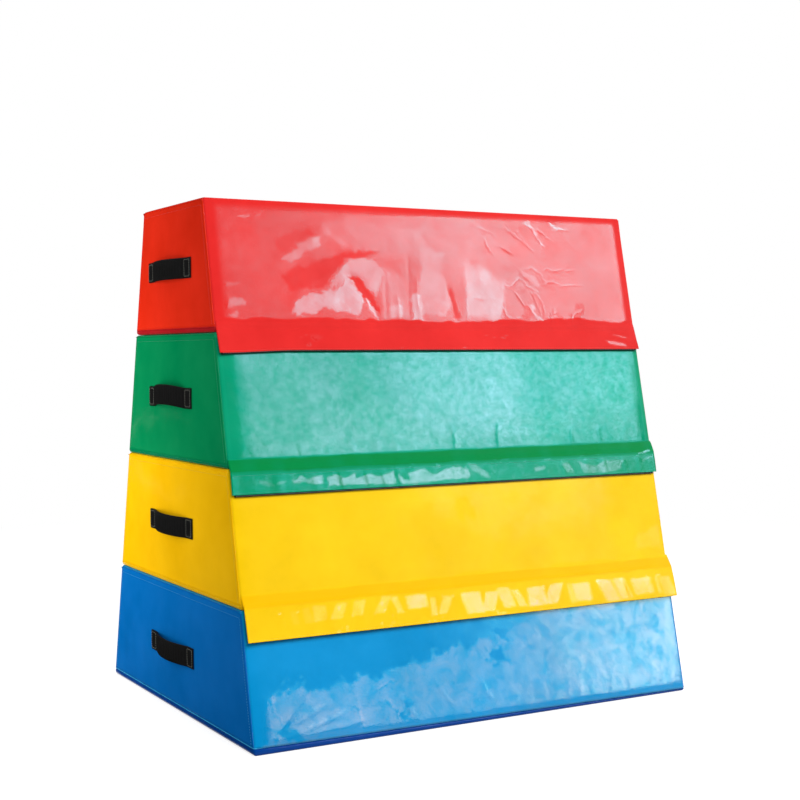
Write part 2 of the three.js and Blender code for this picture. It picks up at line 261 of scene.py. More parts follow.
def tube(name, path, radius, closed=False):
    # a bead along a path, with eight sides
    path = np.asarray(path, float)
    ahead = (np.roll(path, -1, 0) - np.roll(path, 1, 0)) if closed else np.gradient(path, axis=0)
    ahead /= np.linalg.norm(ahead, axis=1, keepdims=True)
    hint = np.array([0.0, 0.0, 1.0]) if abs(ahead[:, 2]).mean() < 0.8 else np.array([1.0, 0.0, 0.0])
    across = np.cross(ahead, hint)
    short = np.linalg.norm(across, axis=1) < 0.2
    across[short] = np.cross(ahead[short], [0.0, 1.0, 0.0])
    across /= np.linalg.norm(across, axis=1, keepdims=True)
    for k in range(1, len(path)):  # no sudden turns of the ring
        if across[k] @ across[k - 1] < 0:
            across[k] = -across[k]
    up = np.cross(across, ahead)
    angle = math.pi / 4 * np.arange(8)[None, :, None]
    rings = path[:, None] + radius * (np.cos(angle) * across[:, None] + np.sin(angle) * up[:, None])
    return ringBody(name, rings, closed)


# Stitching: spacing, length and radius of its stitches
threads = {
    "cover": {"pitch": 0.0048, "length": 0.0036, "radius": 0.00040},
    "strap": {"pitch": 0.0042, "length": 0.0031, "radius": 0.00050},
}


def wayAlong(path):
    return np.concatenate([[0], np.cumsum(np.linalg.norm(np.diff(path, axis=0), axis=1))])


def sample(values, way, at):
    # values given along a way, read off at other places on it
    return np.stack([np.interp(at, way, values[:, k]) for k in range(3)], axis=1)


def resample(path, spacing):
    way = wayAlong(path)
    count = max(2, int(round(way[-1] / spacing)))
    return sample(path, way, np.linspace(0, way[-1], count + 1))


def stitchParts(path, normals, thread):
    # short stitches along a path, each a small tapered body half sunk in the cloth
    points, faces = [], []
    way, r, half = wayAlong(path), thread["radius"], thread["length"] / 2
    count = max(1, int(way[-1] / thread["pitch"]))
    normals = np.broadcast_to(np.asarray(normals, float), path.shape)
    at = (np.arange(count) + 0.5) * way[-1] / count
    for a, b, n in zip(sample(path, way, at - half), sample(path, way, at + half), sample(normals, way, at)):
        ahead = b - a
        ahead /= max(np.linalg.norm(ahead), 1e-9)
        across = np.cross(ahead, n)
        across /= max(np.linalg.norm(across), 1e-9)
        base = len(points)
        points.append(a - n * r * 0.4)
        for share, swell in ((0.18, 0.9), (0.82, 0.9)):
            centre = a + (b - a) * share + n * r * 0.35
            for dx, dn in ((1, 0), (0, 1), (-1, 0), (0, -1)):
                points.append(centre + (across * dx + n * dn) * r * swell)
        points.append(b - n * r * 0.4)
        for s in range(4):
            t = (s + 1) % 4
            faces.append((base, base + 1 + t, base + 1 + s))
            faces.append((base + 1 + s, base + 1 + t, base + 5 + t, base + 5 + s))
            faces.append((base + 9, base + 5 + s, base + 5 + t))
    return points, faces


def stitches(name, rows, thread):
    # several rows of stitches in one piece: each row is a path and its normal or normals
    points, faces = [], []
    for path, normals in rows:
        more, ends = stitchParts(path, normals, thread)
        base = len(points)
        points += more
        faces += [tuple(base + k for k in f) for f in ends]
    first = [f for f in faces if max(f) < 10]  # of one stitch, which shows how all are turned
    if faceOut(points[:10], first) is not first:
        faces = [tuple(reversed(f)) for f in faces]
    return newObject(name, points, faces)


# Materials

def setSockets(tree, node, values):
    # a number or colour is set on the socket itself, another node's output is linked to it
    for socket, value in values.items():
        if isinstance(value, bpy.types.NodeSocket):
            tree.links.new(value, node.inputs[socket])
        else:
            node.inputs[socket].default_value = value


def addNode(tree, kind, output, values, **settings):
    node = tree.nodes.new("ShaderNode" + kind)
    for word, value in settings.items():
        setattr(node, word, value)
    setSockets(tree, node, values)
    return node.outputs[output]


def newMaterial(name):
    # the material, its nodes and the place that its patterns follow
    material = bpy.data.materials.new(name)
    material.use_nodes = True
    return material, material.node_tree, addNode(material.node_tree, "TexCoord", "Object", {})


def surface(tree, values):
    setSockets(tree, tree.nodes["Principled BSDF"], values)


def noise(tree, place, scale, detail=3.0, rough=0.5, distortion=0.0):
    return addNode(tree, "TexNoise", "Fac", {"Vector": place, "Scale": scale, "Detail": detail, "Roughness": rough,
                                             "Distortion": distortion})


def ramp(tree, value, stops):
    node = tree.nodes.new("ShaderNodeValToRGB")
    elements = node.color_ramp.elements
    while len(elements) < len(stops):
        elements.new(0.5)
    for element, (position, colour) in zip(elements, stops):
        element.position, element.color = position, (*colour, 1)
    tree.links.new(value, node.inputs["Fac"])
    return node.outputs["Color"]


def spread(tree, value, low, high, toLow, toHigh):
    return addNode(tree, "MapRange", "Result", {"Value": value, "From Min": low, "From Max": high, "To Min": toLow,
                                                "To Max": toHigh})


def combine(tree, how, first, second):
    return addNode(tree, "Math", 0, {0: first, 1: second}, operation=how)


def bumps(tree, *layers):
    # one bump on top of the other: pattern, height, and strength where it isn't full
    under = {}
    for pattern, height, *strength in layers:
        values = {"Height": pattern, "Distance": height, "Strength": strength[0] if strength else 1.0, **under}
        under = {"Normal": addNode(tree, "Bump", "Normal", values)}
    return under["Normal"]


def scaled(colour, factor, more=0.0):
    return tuple(min(1.0, c * factor + more) for c in colour)


vinyl = {
    # specular level: of the piping, of a base panel, of an end panel, and of a wall or flap where its gloss is full
    "specular": {"piping": 0.34, "base": 0.07, "end": 0.14, "wrap": 0.96},
    "fullGloss": 2.6,  # the gloss value that counts as full
    "roughness": (0.11, 0.19),
    "dullRoughness": 0.45,  # added where the gloss is gone
    # how fine each pattern is: repeats per metre
    "scales": {"tone": 9.0, "slow": 14.0, "bend": 22.0, "creases": 30.0, "rough": 38.0, "crackle": 85.0,
               "grain": 1400.0},
    "grain": 0.000015,  # height of the fine embossed grain
    "undulation": 0.00010,  # height of the slow unevenness of the coating
    # the end panels' tone against the wrap's: painted light and shade, the end faces darkened or shifted in hue for
    # how the light falls on them
    "ends": {"blue": (1, 0.54, 0.86), "yellow": (1.04, 0.93, 0.3), "green": (1, 0.86, 0.62),
             "red": (1.08, 1.30, 0.4)},
    # linear colour; crackle and fine creases; colour of a strong and of a weak glare;
    # how uneven the gloss is: scale, low, high; tone of the darker band on a flap, a painted shade where it flares
    # out
    "blue": {"colour": (0.000, 0.270, 0.605), "crackle": 0.00005, "creases": 0.00003,
             "tint": (1.0, 0.74, 0.46), "weak": (0.26, 1.04, 0.84), "mottle": (34.0, 0.62, 1.25)},
    "yellow": {"colour": (0.950, 0.575, 0.002), "crackle": 0.00003, "creases": 0.00002,
               "tint": (1.0, 0.32, 1.0), "weak": (1.0, 0.8, 0.6), "mottle": (26.0, 0.75, 1.2),
               "paintedShadeTone": (0.93, 0.495, 0.001)},
    "green": {"colour": (0.000, 0.300, 0.148), "crackle": 0.00006, "creases": 0.00003,
              "tint": (0.60, 0.68, 1.0), "weak": (0.08, 0.70, 1.0), "mottle": (62.0, 0.70, 1.15),
              "paintedShadeTone": (0.0, 0.232, 0.054)},
    "red": {"colour": (0.745, 0.020, 0.018), "crackle": 0.00003, "creases": 0.00002,
            "tint": (0.12, 0.97, 1.0), "weak": (0.05, 0.95, 0.95), "mottle": (30.0, 0.84, 1.15)},
}


def vinylMaterial(name, colour, crackle, creases, specular, look=None):
    # with a look, the gloss follows the piece's own "gloss" values and breaks up finely,
    # and on a flap a darker tone is mixed in where its painted-shade value is 1: painted shade where the flap flares
    # out
    material, tree, place = newMaterial(name)
    scales = vinyl["scales"]
    cloud = noise(tree, place, scales["tone"], 4.0, 0.6)
    tone = ramp(tree, cloud, [(0.32, scaled(colour, 0.93)), (0.68, scaled(colour, 1.05, 0.004))])
    rough = spread(tree, noise(tree, place, scales["rough"], 5.0, 0.65), 0.35, 0.7, *vinyl["roughness"])
    if look:
        # painted shade: a darker base colour on a flap's flared band
        if "paintedShadeTone" in look:
            paintedShade = addNode(tree, "Attribute", "Fac", {}, attribute_name="paintedShade")
            tone = addNode(tree, "Mix", 2, {0: paintedShade, 6: tone, 7: (*look["paintedShadeTone"], 1)}, data_type="RGBA")
        scale, low, high = look["mottle"]
        broken = spread(tree, noise(tree, place, scale, 8.0, 0.62, 0.4), 0.36, 0.62, low, high)
        shine = combine(tree, "MULTIPLY", broken, addNode(tree, "Attribute", "Fac", {}, attribute_name="gloss"))
        share = spread(tree, shine, 0.0, vinyl["fullGloss"], 0.0, 1.0)
        glare = ramp(tree, share, [(0.0, (0, 0, 0)), (0.27, scaled(look["weak"], 0.27)), (1.0, look["tint"])])
        surface(tree, {"Specular Tint": glare})
        rough = combine(tree, "ADD", rough, spread(tree, share, 0.0, 0.30, vinyl["dullRoughness"], 0.0))
    warp = addNode(tree, "TexNoise", "Color", {"Vector": place, "Scale": scales["bend"], "Detail": 3.0})
    bent = addNode(tree, "VectorMath", "Vector", {0: warp, 1: (0.05,) * 3, 2: place}, operation="MULTIPLY_ADD")
    cells = addNode(tree, "TexVoronoi", "Distance", {"Vector": bent, "Scale": scales["creases"], "Randomness": 1.0},
                    feature="DISTANCE_TO_EDGE")
    surface(tree, {"Base Color": tone, "Roughness": rough, "Specular IOR Level": specular, "Normal": bumps(
        tree, (noise(tree, place, scales["slow"], 2.0, 0.45), vinyl["undulation"] * 4),
        (noise(tree, place, scales["crackle"], 4.0, 0.62, 0.9), crackle * 3),
        (spread(tree, cells, 0.0, 0.06, 0.0, 1.0), creases, 0.6),
        (noise(tree, place, scales["grain"], 2.0, 0.5), vinyl["grain"]))})
    return material


# Colour of the base panels, darker copies of each section's vinyl: painted shade of the rim turned under the section;
# and of the piping on the blue one, lighter than its vinyl: a painted highlight on the rounded rim
paintedBaseShadeAndPipingHighlight = {
    "blue": (0.000, 0.048, 0.270),
    "yellow": (0.860, 0.500, 0.003),
    "green": (0.000, 0.200, 0.085),
    "red": (0.420, 0.010, 0.016),
    "bluePaintedHighlightPiping": (0.03, 0.36, 0.70),
}


def webbingMaterial(name, colour, rib):
    # woven polypropylene: fine ribs across the strap, crossed by finer threads
    material, tree, place = newMaterial(name)
    values = {"Vector": place, "Scale": rib, "Distortion": 0.8, "Detail": 1.0}
    ribs = addNode(tree, "TexWave", "Fac", values, bands_direction="Y")
    crossing = addNode(tree, "TexWave", "Fac", {**values, "Scale": rib * 0.8}, bands_direction="Z")
    fuzz = noise(tree, place, 900.0, 2.0, 0.6)
    surface(tree, {"Base Color": ramp(tree, ribs, [(0.3, colour), (0.9, scaled(colour, 2.2, 0.004))]),
                   "Roughness": spread(tree, fuzz, 0.3, 0.7, 0.62, 0.85), "Specular IOR Level": 0.35,
                   "Normal": bumps(tree, (ribs, 0.00025), (crossing, 0.00015), (fuzz, 0.0001))})
    return material


def napMaterial(name, colour, scale, height):
    # hook-and-loop tape and foam: a rough broken surface
    material, tree, place = newMaterial(name)
    coarse, fine = noise(tree, place, scale * 0.12, 4.0, 0.6), noise(tree, place, scale, 3.0, 0.7)
    surface(tree, {"Base Color": ramp(tree, fine, [(0.3, scaled(colour, 0.75)), (0.7, scaled(colour, 1.25, 0.002))]),
                   "Roughness": spread(tree, coarse, 0.3, 0.7, 0.85, 0.98), "Specular IOR Level": 0.2,
                   "Normal": bumps(tree, (coarse, height * 1.5), (fine, height))})
    return material


def threadMaterial(name, colour):
    material, tree, place = newMaterial(name)
    twist = addNode(tree, "TexWave", "Fac", {"Vector": place, "Scale": 700.0}, bands_direction="DIAGONAL")
    surface(tree, {"Base Color": ramp(tree, twist, [(0.2, scaled(colour, 0.7)), (0.8, colour)]),
                   "Roughness": spread(tree, twist, 0.0, 1.0, 0.45, 0.6), "Normal": bumps(tree, (twist, 0.00008))})
    return material


def metalMaterial(name, colour):
    material, tree, place = newMaterial(name)
    cloud = noise(tree, place, 160.0, 4.0, 0.6)
    drawn = addNode(tree, "Mapping", "Vector", {"Vector": place, "Scale": (1, 12, 12)})
    surface(tree, {"Base Color": ramp(tree, cloud, [(0.35, scaled(colour, 0.8)), (0.65, colour)]),
                   "Roughness": spread(tree, cloud, 0.3, 0.7, 0.24, 0.4), "Metallic": 1.0,
                   "Normal": bumps(tree, (noise(tree, drawn, 500.0, 2.0, 0.5), 0.00002))})
    return material


coverMaterials, endMaterials, baseMaterials, pipingMaterials, threadMaterials = {}, {}, {}, {}, {}
for word in stack["colours"]:
    look, levels = vinyl[word], vinyl["specular"]
    # base panels in darker copies of the vinyl: painted shade
    colour, under = look["colour"], paintedBaseShadeAndPipingHighlight[word]
    # end panels: the vinyl darkened or shifted in hue, painted light and shade
    endPaintedLightAndShade = tuple(min(1.0, a * b) for a, b in zip(colour, vinyl["ends"][word]))
    # piping: on blue a lighter colour, a painted highlight; on the others halfway to the base's painted shade
    between = paintedBaseShadeAndPipingHighlight["bluePaintedHighlightPiping"] if word == "blue" else tuple((a + b) / 2 for a, b in zip(colour, under))
    coverMaterials[word] = vinylMaterial(word + "Vinyl", colour, look["crackle"], look["creases"], levels["wrap"],
                                         look)
    baseMaterials[word] = vinylMaterial(word + "BasePaintedShadeVinyl", under, 0.00006, 0.00004, levels["base"])
    endMaterials[word] = vinylMaterial(word + "EndPaintedLightAndShadeVinyl", endPaintedLightAndShade, 0.00004, 0.00002, levels["end"])
    pipingMaterials[word] = vinylMaterial(word + "PipingVinyl", between, 0.00004, 0.00002, levels["piping"])
    threadMaterials[word] = threadMaterial(word + "Thread", scaled(colour, 1.25, 0.06))
foamMaterial = napMaterial("paleFoam", (0.76, 0.70, 0.52), 420.0, 0.0004)
strapMaterial = webbingMaterial("blackWebbing", (0.004, 0.004, 0.0045), 160.0)
hookMaterial = napMaterial("blackHookTape", (0.006, 0.006, 0.0065), 1100.0, 0.0003)
loopMaterial = napMaterial("blackLoopTape", (0.009, 0.009, 0.010), 700.0, 0.0005)
zipClothMaterial = webbingMaterial("zipCloth", (0.006, 0.006, 0.007), 260.0)
zipMetalMaterial = metalMaterial("nickel", (0.62, 0.61, 0.58))
toothMaterial = metalMaterial("toothNickel", (0.30, 0.30, 0.31))
paleThread = threadMaterial("paleThread", (0.36, 0.37, 0.33))
print("materials ready")


def sew(name, rows, kind, body, slotName, material):
    finishPiece(stitches(name, rows, threads[kind]), body, slotName, material)


def finishPiece(piece, body, slotName, material, *nodes):
    piece.data.materials.clear()
    piece.data.materials.append(material)
    if body:
        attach(piece, body)
    if nodes:
        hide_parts(*nodes)
    return piece


# Zips on the rear wall: tape and teeth; slider and pull tab are the frame's own, in metal
zips = {
    "height": 0.070,
    "length": 0.880,
    "width": 0.026,
    "lean": 0.1884,  # slope of the wall there
    "wallStand": 0.0019,  # of the cover under the tape
    # the flat place in the cover: half height and its soft edge, how far past the ends and its soft edge
    "bed": (0.027, 0.010, 0.025, 0.020),
    "near": 0.0003,
    "thickness": 0.0008,
    "cloth": 0.0007,  # of the tape between the teeth's cords
    "weave": 0.00006,
    "toothPitch": 0.00125,
    "tooth": (0.0009, 0.0030, 0.0017),  # along the tape, across it, height
}


# Cover: one sheet up the front wall, over the lid and down the rear wall
wrap = {
    # spacing of the mesh on the front wall, on the rear wall and on the lid
    "step": {"blue": 0.0026, "yellow": 0.0036, "green": 0.0030, "red": 0.0018},
    "rearStep": 0.0045,
    "lidStep": 0.013,
    "edge": 0.0038,  # rounded edge between wall and lid
    "corner": 0.004,  # rounded upright corner at the end seams
    "crown": 0.003,  # how far the padding swells a wall
    "sideBand": 0.036,  # width over which the swell falls away at the ends
    "topBand": 0.024,
    "lowBand": {"free": 0.020, "flapped": 0.012},  # above the base seam
    "lowStart": 0.006,  # height at which the lower band starts
    "puff": (0.0042, 0.19, 0.06),  # of the top section's edge: rise, height at which it starts, and over what height
    "thickness": 0.0035,
    "inset": 0.0008,  # from the end seam
    "close": [0, 0.0004, 0.0009, 0.0016, 0.0025, 0.0036, 0.0050, 0.0070, 0.0095],  # columns of points near that seam
    # the front wall is pressed flat behind the loop strip: how far down from the joint,
    # and over what width it swells again
    "pressed": {"blue": (-0.050, 0.010), "yellow": (0.051, 0.034), "green": (0.026, 0.016), "red": (-0.050, 0.010)},
    "pressedStand": 0.0003,
    "topLid": (0.0022, 0.0008),  # swell of the uppermost lid, and its unevenness
    "lid": (0.0007, 0.0005),  # dip of the lower ones, and their unevenness
    "lidGloss": 0.04,
    # folds on the front wall, in mm: x and height of both ends, half width, rise
    "folds": {
        "red": [
            (-330, 60, -185, 150, 18, 0.9), (-365, 120, -250, 196, 16, 0.6), (-340, 32, -225, 62, 18, 0.8),
            (-205, 116, -165, 80, 8, -0.7), (-168, 84, -146, 26, 8, -0.9), (-470, 52, -430, 58, 6, 0.4),
            (-125, 18, -122, 100, 7, -0.4), (-98, 18, -94, 75, 6, 0.4), (-72, 20, -62, 160, 7, -0.4),
            (-50, 18, -48, 110, 6, 0.4), (26, 92, 36, 18, 6, -0.6), (62, 18, 70, 90, 6, 0.4),
            (180, 234, 203, 206, 2.6, 0.5), (203, 206, 222, 214, 2.6, 0.4), (237, 233, 275, 183, 2.4, 0.5),
            (291, 236, 345, 218, 3, 0.5), (150, 182, 194, 166, 3, 0.4), (205, 128, 240, 98, 2.6, 0.5),
            (165, 95, 186, 86, 2.2, 0.4), (188, 85, 209, 51, 2.4, 0.6), (229, 86, 250, 30, 2.6, 0.6),
            (206, 54, 220, 50, 2, 0.5), (220, 52, 242, 22, 2.4, 0.6), (269, 18, 275, 46, 3, 0.6),
            (321, 18, 330, 44, 3, 0.5), (345, 18, 358, 56, 3.6, 0.6)],
        "green": [
            (-3, 14, -4, 62, 5, 0.6), (97, 14, 98, 62, 5, 0.6), (282, 12, 284, 52, 4, 0.5),
            (358, 12, 354, 52, 4, 0.5)],
        "yellow": [
            (-180, 30, -150, 170, 30, 0.5), (120, 30, 90, 170, 35, 0.5)],
        "blue": [
            (-470, 20, -330, 75, 8, 0.7), (-455, 18, -370, 100, 8, -0.6), (-438, 22, -300, 55, 6, 0.7),
            (-400, 20, -250, 40, 7, 0.6), (-330, 30, -200, 110, 14, 0.5), (-190, 72, -150, 16, 5, 0.6),
            (-110, 88, -78, 40, 4, 0.5), (-10, 75, 12, 40, 4, 0.5)],
    },
    # short pleats above the lower seam, each drawn between two limits
    "pleats": {"count": 46, "centre": (-0.47, 0.47), "lean": (-0.35, 0.35), "half": (0.003, 0.009),
               "reach": (0.02, 0.07), "rise": (-0.6, 1.0), "foot": (0.008, 0.022)},
    # how strong the random unevenness is: slow swell, medium dents, pleats along the seams
    "slack": {"blue": (0.0005, 0.00010, 0.0003), "yellow": (0.0006, 0.00010, 0.0001),
              "green": (0.0003, 0.00011, 0.0003), "red": (0.0004, 0.00013, 0.0002)},
}


# Gloss of the coating: its level along each wall, and the places where the glare is broken up
gloss = {
    # at the left and at the right end, and where it starts to change
    "level": {"blue": (0.10, 1.20), "yellow": (0.06, 0.11), "green": (1.95, 1.02), "red": (0.58, 0.86)},
    "turn": {"blue": -0.16, "yellow": -0.36, "green": -0.36, "red": -0.36},
    "ragged": {"blue": 0.012, "yellow": 0.008, "green": 0.005, "red": 0.0062},
    # how far above the base the glare ends; how wavy that line is
    "foot": {"blue": (-0.010, 0.0), "yellow": (0.028, 0.004), "green": (0.0185, 0.0004), "red": (0.0265, 0.0050)},
    "sides": {"blue": (0.018, 0.0), "yellow": (0.016, 0.012), "green": (0.012, 0.014), "red": (0.026, 0.024)},
    "top": 0.013,
    # soft edge in mm, gloss, then x and height of each corner in mm
    "patches": {
        "red": [
            (10, 0.42, -353, 180, -308, 196, -269, 202, -266, 192, -311, 170, -334, 152, -343, 155),
            (20, 1.02, -243, 214, -107, 230, 2, 234, 120, 234, 110, 160, -10, 147, -133, 152, -191, 165, -240, 184,
             -248, 195),
            (10, 0.26, -349, 106, -296, 133, -231, 152, -182, 160, -129, 158, -153, 149, -200, 142, -243, 106, -257,
             91, -333, 79),
            (5, 1.45, -339, 141, -312, 161, -271, 186, -249, 184, -254, 172, -285, 151, -321, 133, -338, 132),
            (4, 1.6, -251, 89, -216, 118, -193, 142, -151, 143, -126, 132, -126, 109, -133, 79, -143, 73, -158, 90,
             -185, 101, -206, 95),
            (4, 2.3, -330, 34, -318, 51, -303, 71, -255, 85, -204, 95, -176, 85, -170, 67, -181, 35, -219, 36, -257,
             42, -289, 36),
            (10, 1.15, -123, 126, -62, 110, -72, 30, -136, 27),
            (6, 0.2, -201, 110, -178, 110, -158, 85, -142, 56, -143, 35, -152, 27, -168, 61, -188, 84),
            (2, 1.6, -167, 70, -160, 67, -146, 32, -151, 26, -158, 34),
            (6, 1.15, -464, 93, -431, 95, -429, 88, -465, 85),
            (6, 1.45, -471, 54, -455, 63, -424, 55, -427, 47, -469, 43),
            (4, 1.45, -465, 30, -441, 31, -445, 23, -466, 23), (3, 1.7, -420, 221, -402, 224, -404, 219),
            (3, 1.7, -392, 219, -376, 224, -380, 217), (5, 1.9, -117, 52, -90, 57, -90, 27, -116, 27),
            (4, 2.0, -62, 80, -42, 81, -43, 25, -66, 24),
            (10, 1.4, -33, 170, -5, 177, 20, 165, 22, 40, -25, 34, -48, 33),
            (8, 0.75, -80, 150, -70, 152, -66, 100, -76, 36), (5, 0.35, 20, 92, 29, 92, 47, 26, 30, 24),
            (6, 0.75, 40, 92, 64, 96, 68, 26, 55, 24), (18, 1.6, 70, 143, 120, 130, 161, 100, 150, 29, 61, 28),
            (4, 0.55, 160, 184, 172, 182, 196, 168, 188, 164), (12, 0.75, 196, 226, 215, 228, 244, 192, 224, 186),
            (12, 0.8, 245, 225, 262, 225, 290, 196, 276, 186), (2, 1.9, 235, 236, 244, 236, 262, 212, 255, 210),
            (2, 1.9, 262, 196, 270, 192, 277, 181, 270, 182),
            (3, 1.7, 291, 236, 318, 228, 345, 218, 318, 220, 302, 219),
            (6, 1.45, 209, 132, 235, 128, 256, 100, 246, 100), (5, 0.7, 150, 60, 164, 58, 186, 30, 176, 22, 162, 22),
            (5, 0.6, 203, 60, 214, 58, 226, 34, 214, 22, 196, 22), (2, 1.9, 218, 56, 226, 58, 252, 24, 240, 24),
            (4, 0.6, 253, 52, 262, 52, 270, 22, 256, 22), (5, 0.55, 284, 56, 296, 56, 302, 26, 290, 24),
            (4, 0.6, 318, 48, 326, 48, 334, 26, 322, 24), (6, 0.55, 340, 62, 362, 64, 344, 26, 330, 24)],
        "green": [
            (120, 1.75, -120, 230, 160, 230, 180, 20, -160, 20),
            (30, 1.0, -480, 230, -450, 230, -440, 100, -445, 20, -480, 20), (3, 0.7, -6, 60, 0, 60, 1, 20, -4, 20),
            (3, 0.6, 94, 62, 100, 62, 100, 20, 96, 20), (3, 0.6, 278, 52, 284, 52, 286, 20, 281, 20),
            (3, 0.6, 352, 52, 360, 52, 362, 20, 356, 20)],
        "yellow": [
            (60, 0.26, -120, 215, 360, 215, 330, 110, 60, 90, -60, 150),
            (40, 0.02, 365, 200, 500, 200, 500, 20, 350, 20), (14, 0.24, 421, 79, 491, 95, 482, 47, 420, 51),
            (10, 0.06, -15, 168, 10, 178, 22, 150, 6, 120, -10, 128)],
        "blue": [
            (16, 1.22, -460, 96, -413, 106, -334, 104, -243, 107, -178, 121, -45, 147, 200, 195, 200, 0, -400, 0,
             -462, 0),
            (30, 1.55, -458, 74, -400, 66, -280, 72, -200, 60, -150, 0, -460, 0),
            (8, 0.25, -41, 172, -22, 164, -9, 152, -45, 149), (8, 0.25, 9, 130, 38, 138, 64, 118, 56, 113, 14, 118),
            (8, 0.3, 38, 170, 61, 168, 60, 142, 32, 145), (8, 0.85, 138, 128, 154, 130, 153, 80, 146, 80),
            (12, 1.7, -420, 70, -371, 55, -300, 56, -262, 30, -262, 12, -350, 16, -372, 28, -410, 46),
            (8, 1.65, -466, 56, -437, 62, -428, 50, -440, 40, -462, 46),
            (7, 1.75, -467, 42, -443, 32, -399, 12, -461, 6),
            (6, 0.6, -445, 46, -429, 44, -385, 28, -366, 14, -398, 13, -436, 30),
            (8, 1.7, -466, 98, -452, 92, -444, 77, -464, 72), (6, 1.75, -398, 92, -370, 94, -362, 78, -394, 78),
            (6, 0.45, -191, 48, -172, 49, -159, 31, -169, 27), (4, 1.8, -286, 52, -265, 26, -274, 25, -285, 39)],
    },
    # fine creases, painted into the gloss as shade and highlight: half width of the dark line and of the bright one
    # above it; then x and height along each, in mm
    "paintedCreaseWidths": (0.0016, 0.0020),
    "creases": {
        "red": [
            (183, 216, 198, 207, 220, 194), (210, 213, 226, 194, 245, 176), (235, 226, 249, 220, 260, 199, 273, 183),
            (252, 219, 274, 212, 291, 198), (289, 236, 308, 221, 344, 219), (165, 181, 187, 171),
            (115, 217, 139, 207, 153, 199), (127, 194, 140, 164),
            (159, 96, 181, 98, 203, 116, 213, 110, 220, 99, 246, 86), (231, 85, 242, 82, 252, 64, 258, 39),
            (188, 83, 197, 69, 204, 54, 214, 56, 228, 39, 248, 24), (155, 47, 164, 32, 181, 22, 191, 29),
            (220, 135, 240, 138, 260, 126, 265, 111), (272, 105, 310, 102, 363, 100), (269, 136, 299, 130, 335, 138),
            (279, 52, 280, 39, 289, 46), (324, 27, 338, 40, 355, 50), (83, 71, 104, 65)],
        "blue": [
            (-444, 77, -434, 63, -427, 47), (-450, 47, -444, 32, -442, 16), (-467, 100, -453, 93, -446, 77),
            (-287, 55, -274, 35, -261, 18), (-218, 68, -205, 48, -191, 33), (-189, 46, -169, 33, -164, 24),
            (-126, 46, -112, 26, -107, 20), (-237, 88, -196, 94), (-416, 41, -397, 31, -375, 18)],
    },
    # on the flaps: gloss above the fold and below it, then outlines like the walls', in depth below the joint
    "flaps": {
        "red": (0.02, 0.02, [
            (6, 0.9, 404, 19, 424, 21, 455, 28, 458, 34, 430, 31, 410, 26),
            (4, 0.7, 426, 4, 445, 6, 463, 10, 461, 13, 440, 9), (10, 0.35, -299, 6, -282, 5, -272, 12, -290, 18)]),
        "green": (0.0, 0.8, [
            (4, 1.5, -433, 23.5, -416, 27, -403, 32.6, -395, 27.4, -381, 26, -383, 30, -395, 32, -408, 35, -423, 32,
             -432, 30),
            (3, 2.4, -367, 25, -359, 28, -352, 19, -346, 19, -339, 26.6, -327, 23.6, -305, 21, -302, 25, -304, 35,
             -321, 36, -336, 31.6, -348, 29, -355, 32, -364, 32),
            (2, 2.5, -295, 24, -277, 20, -258, 27, -250, 25.7, -236, 18.4, -235, 29, -228, 29.6, -210, 22.5, -197,
             24.5, -183, 26.6, -165, 23, -153, 19, -151, 32, -146, 43, -269, 39, -294, 39),
            (2, 2.5, -143, 25, -127, 37, -115, 38, -122, 24, -102, 21, -90, 17.6, -81, 19.5, -67, 26.7, -55, 29.5,
             -38, 20.6, -22, 18, -16, 16, 3, 17, 21, 29, 19, 40, -35, 39, -44, 41, -72, 43, -112, 44, -136, 44),
            (3, 1.8, 19, 10, 34, 13.2, 63, 31, 68, 42, 43, 35, 25, 22.6), (6, 0.9, 89, 17, 105, 16, 112, 26, 91, 30),
            (3, 1.9, 176, 27.5, 202, 23.6, 205, 29, 183, 34.5), (3, 2.3, 248, 22, 265, 21, 276, 42, 257, 39),
            (3, 2.3, 287, 17, 306, 26, 332, 29, 359, 20, 407, 20, 391, 40, 351, 43.6, 299, 43),
            (2, 2.4, 446, 8, 478, 1, 480, 4, 449, 11), (2, 1.6, 452, 22, 484, 12, 485, 16, 455, 26)]),
        "yellow": (0.0, 0.04, []),
    },
    # painted shade on a flap, a darker band where it leaves its wall: its top and bottom below the joint, soft edge,
    # share of it further down
    "paintedShadeBand": {"yellow": (-0.0270, -0.0050, 0.006, 0.0), "green": (-0.0170, 0.0055, 0.0022, 0.45)},
    # yellow's streaks: x at the joint and half width in mm, slant, top and bottom below the joint in mm, gloss
    "streaks": [
        (-392, 7, 0.1, 8, 36, 0.7), (-366, 9, 0.1, 4, 36, 1.0), (-341, 14, 0.0, 2, 34, 1.9),
        (-302, 13, -0.6, 2, 33, 1.7), (-262, 13, -0.35, 0, 32, 1.9), (-212, 12, -0.7, -4, 32, 1.7),
        (-176, 6, 0.4, 0, 34, 1.3), (-135, 19, 0.1, 0, 29, 1.8), (-100, 6, 0.0, 8, 46, 1.3),
        (-70, 9, -0.5, 8, 44, 1.1), (-12, 18, 0.2, 6, 50, 1.9), (34, 13, -0.5, 8, 49, 1.8), (66, 12, 0.3, 3, 46, 1.6),
        (92, 8, 0.5, 10, 47, 1.4), (140, 18, 0.0, 8, 49, 2.0), (186, 14, -0.6, 6, 48, 1.9), (222, 4, 0.1, 8, 50, 1.2),
        (250, 19, 0.1, 10, 49, 2.0), (312, 15, 0.5, 8, 56, 2.0), (350, 13, 0.4, 8, 54, 1.9),
        (404, 21, 0.2, 12, 48, 1.9), (446, 4, 0.2, 12, 50, 1.2), (468, 12, 0.3, 14, 56, 1.3)],
    # where the streaks change from weak to strong; how wide and how strong they then are
    "streakTurn": -0.19,
    "weakStreak": (1.0, 0.34),
    "strongStreak": (1.22, 0.66),
}


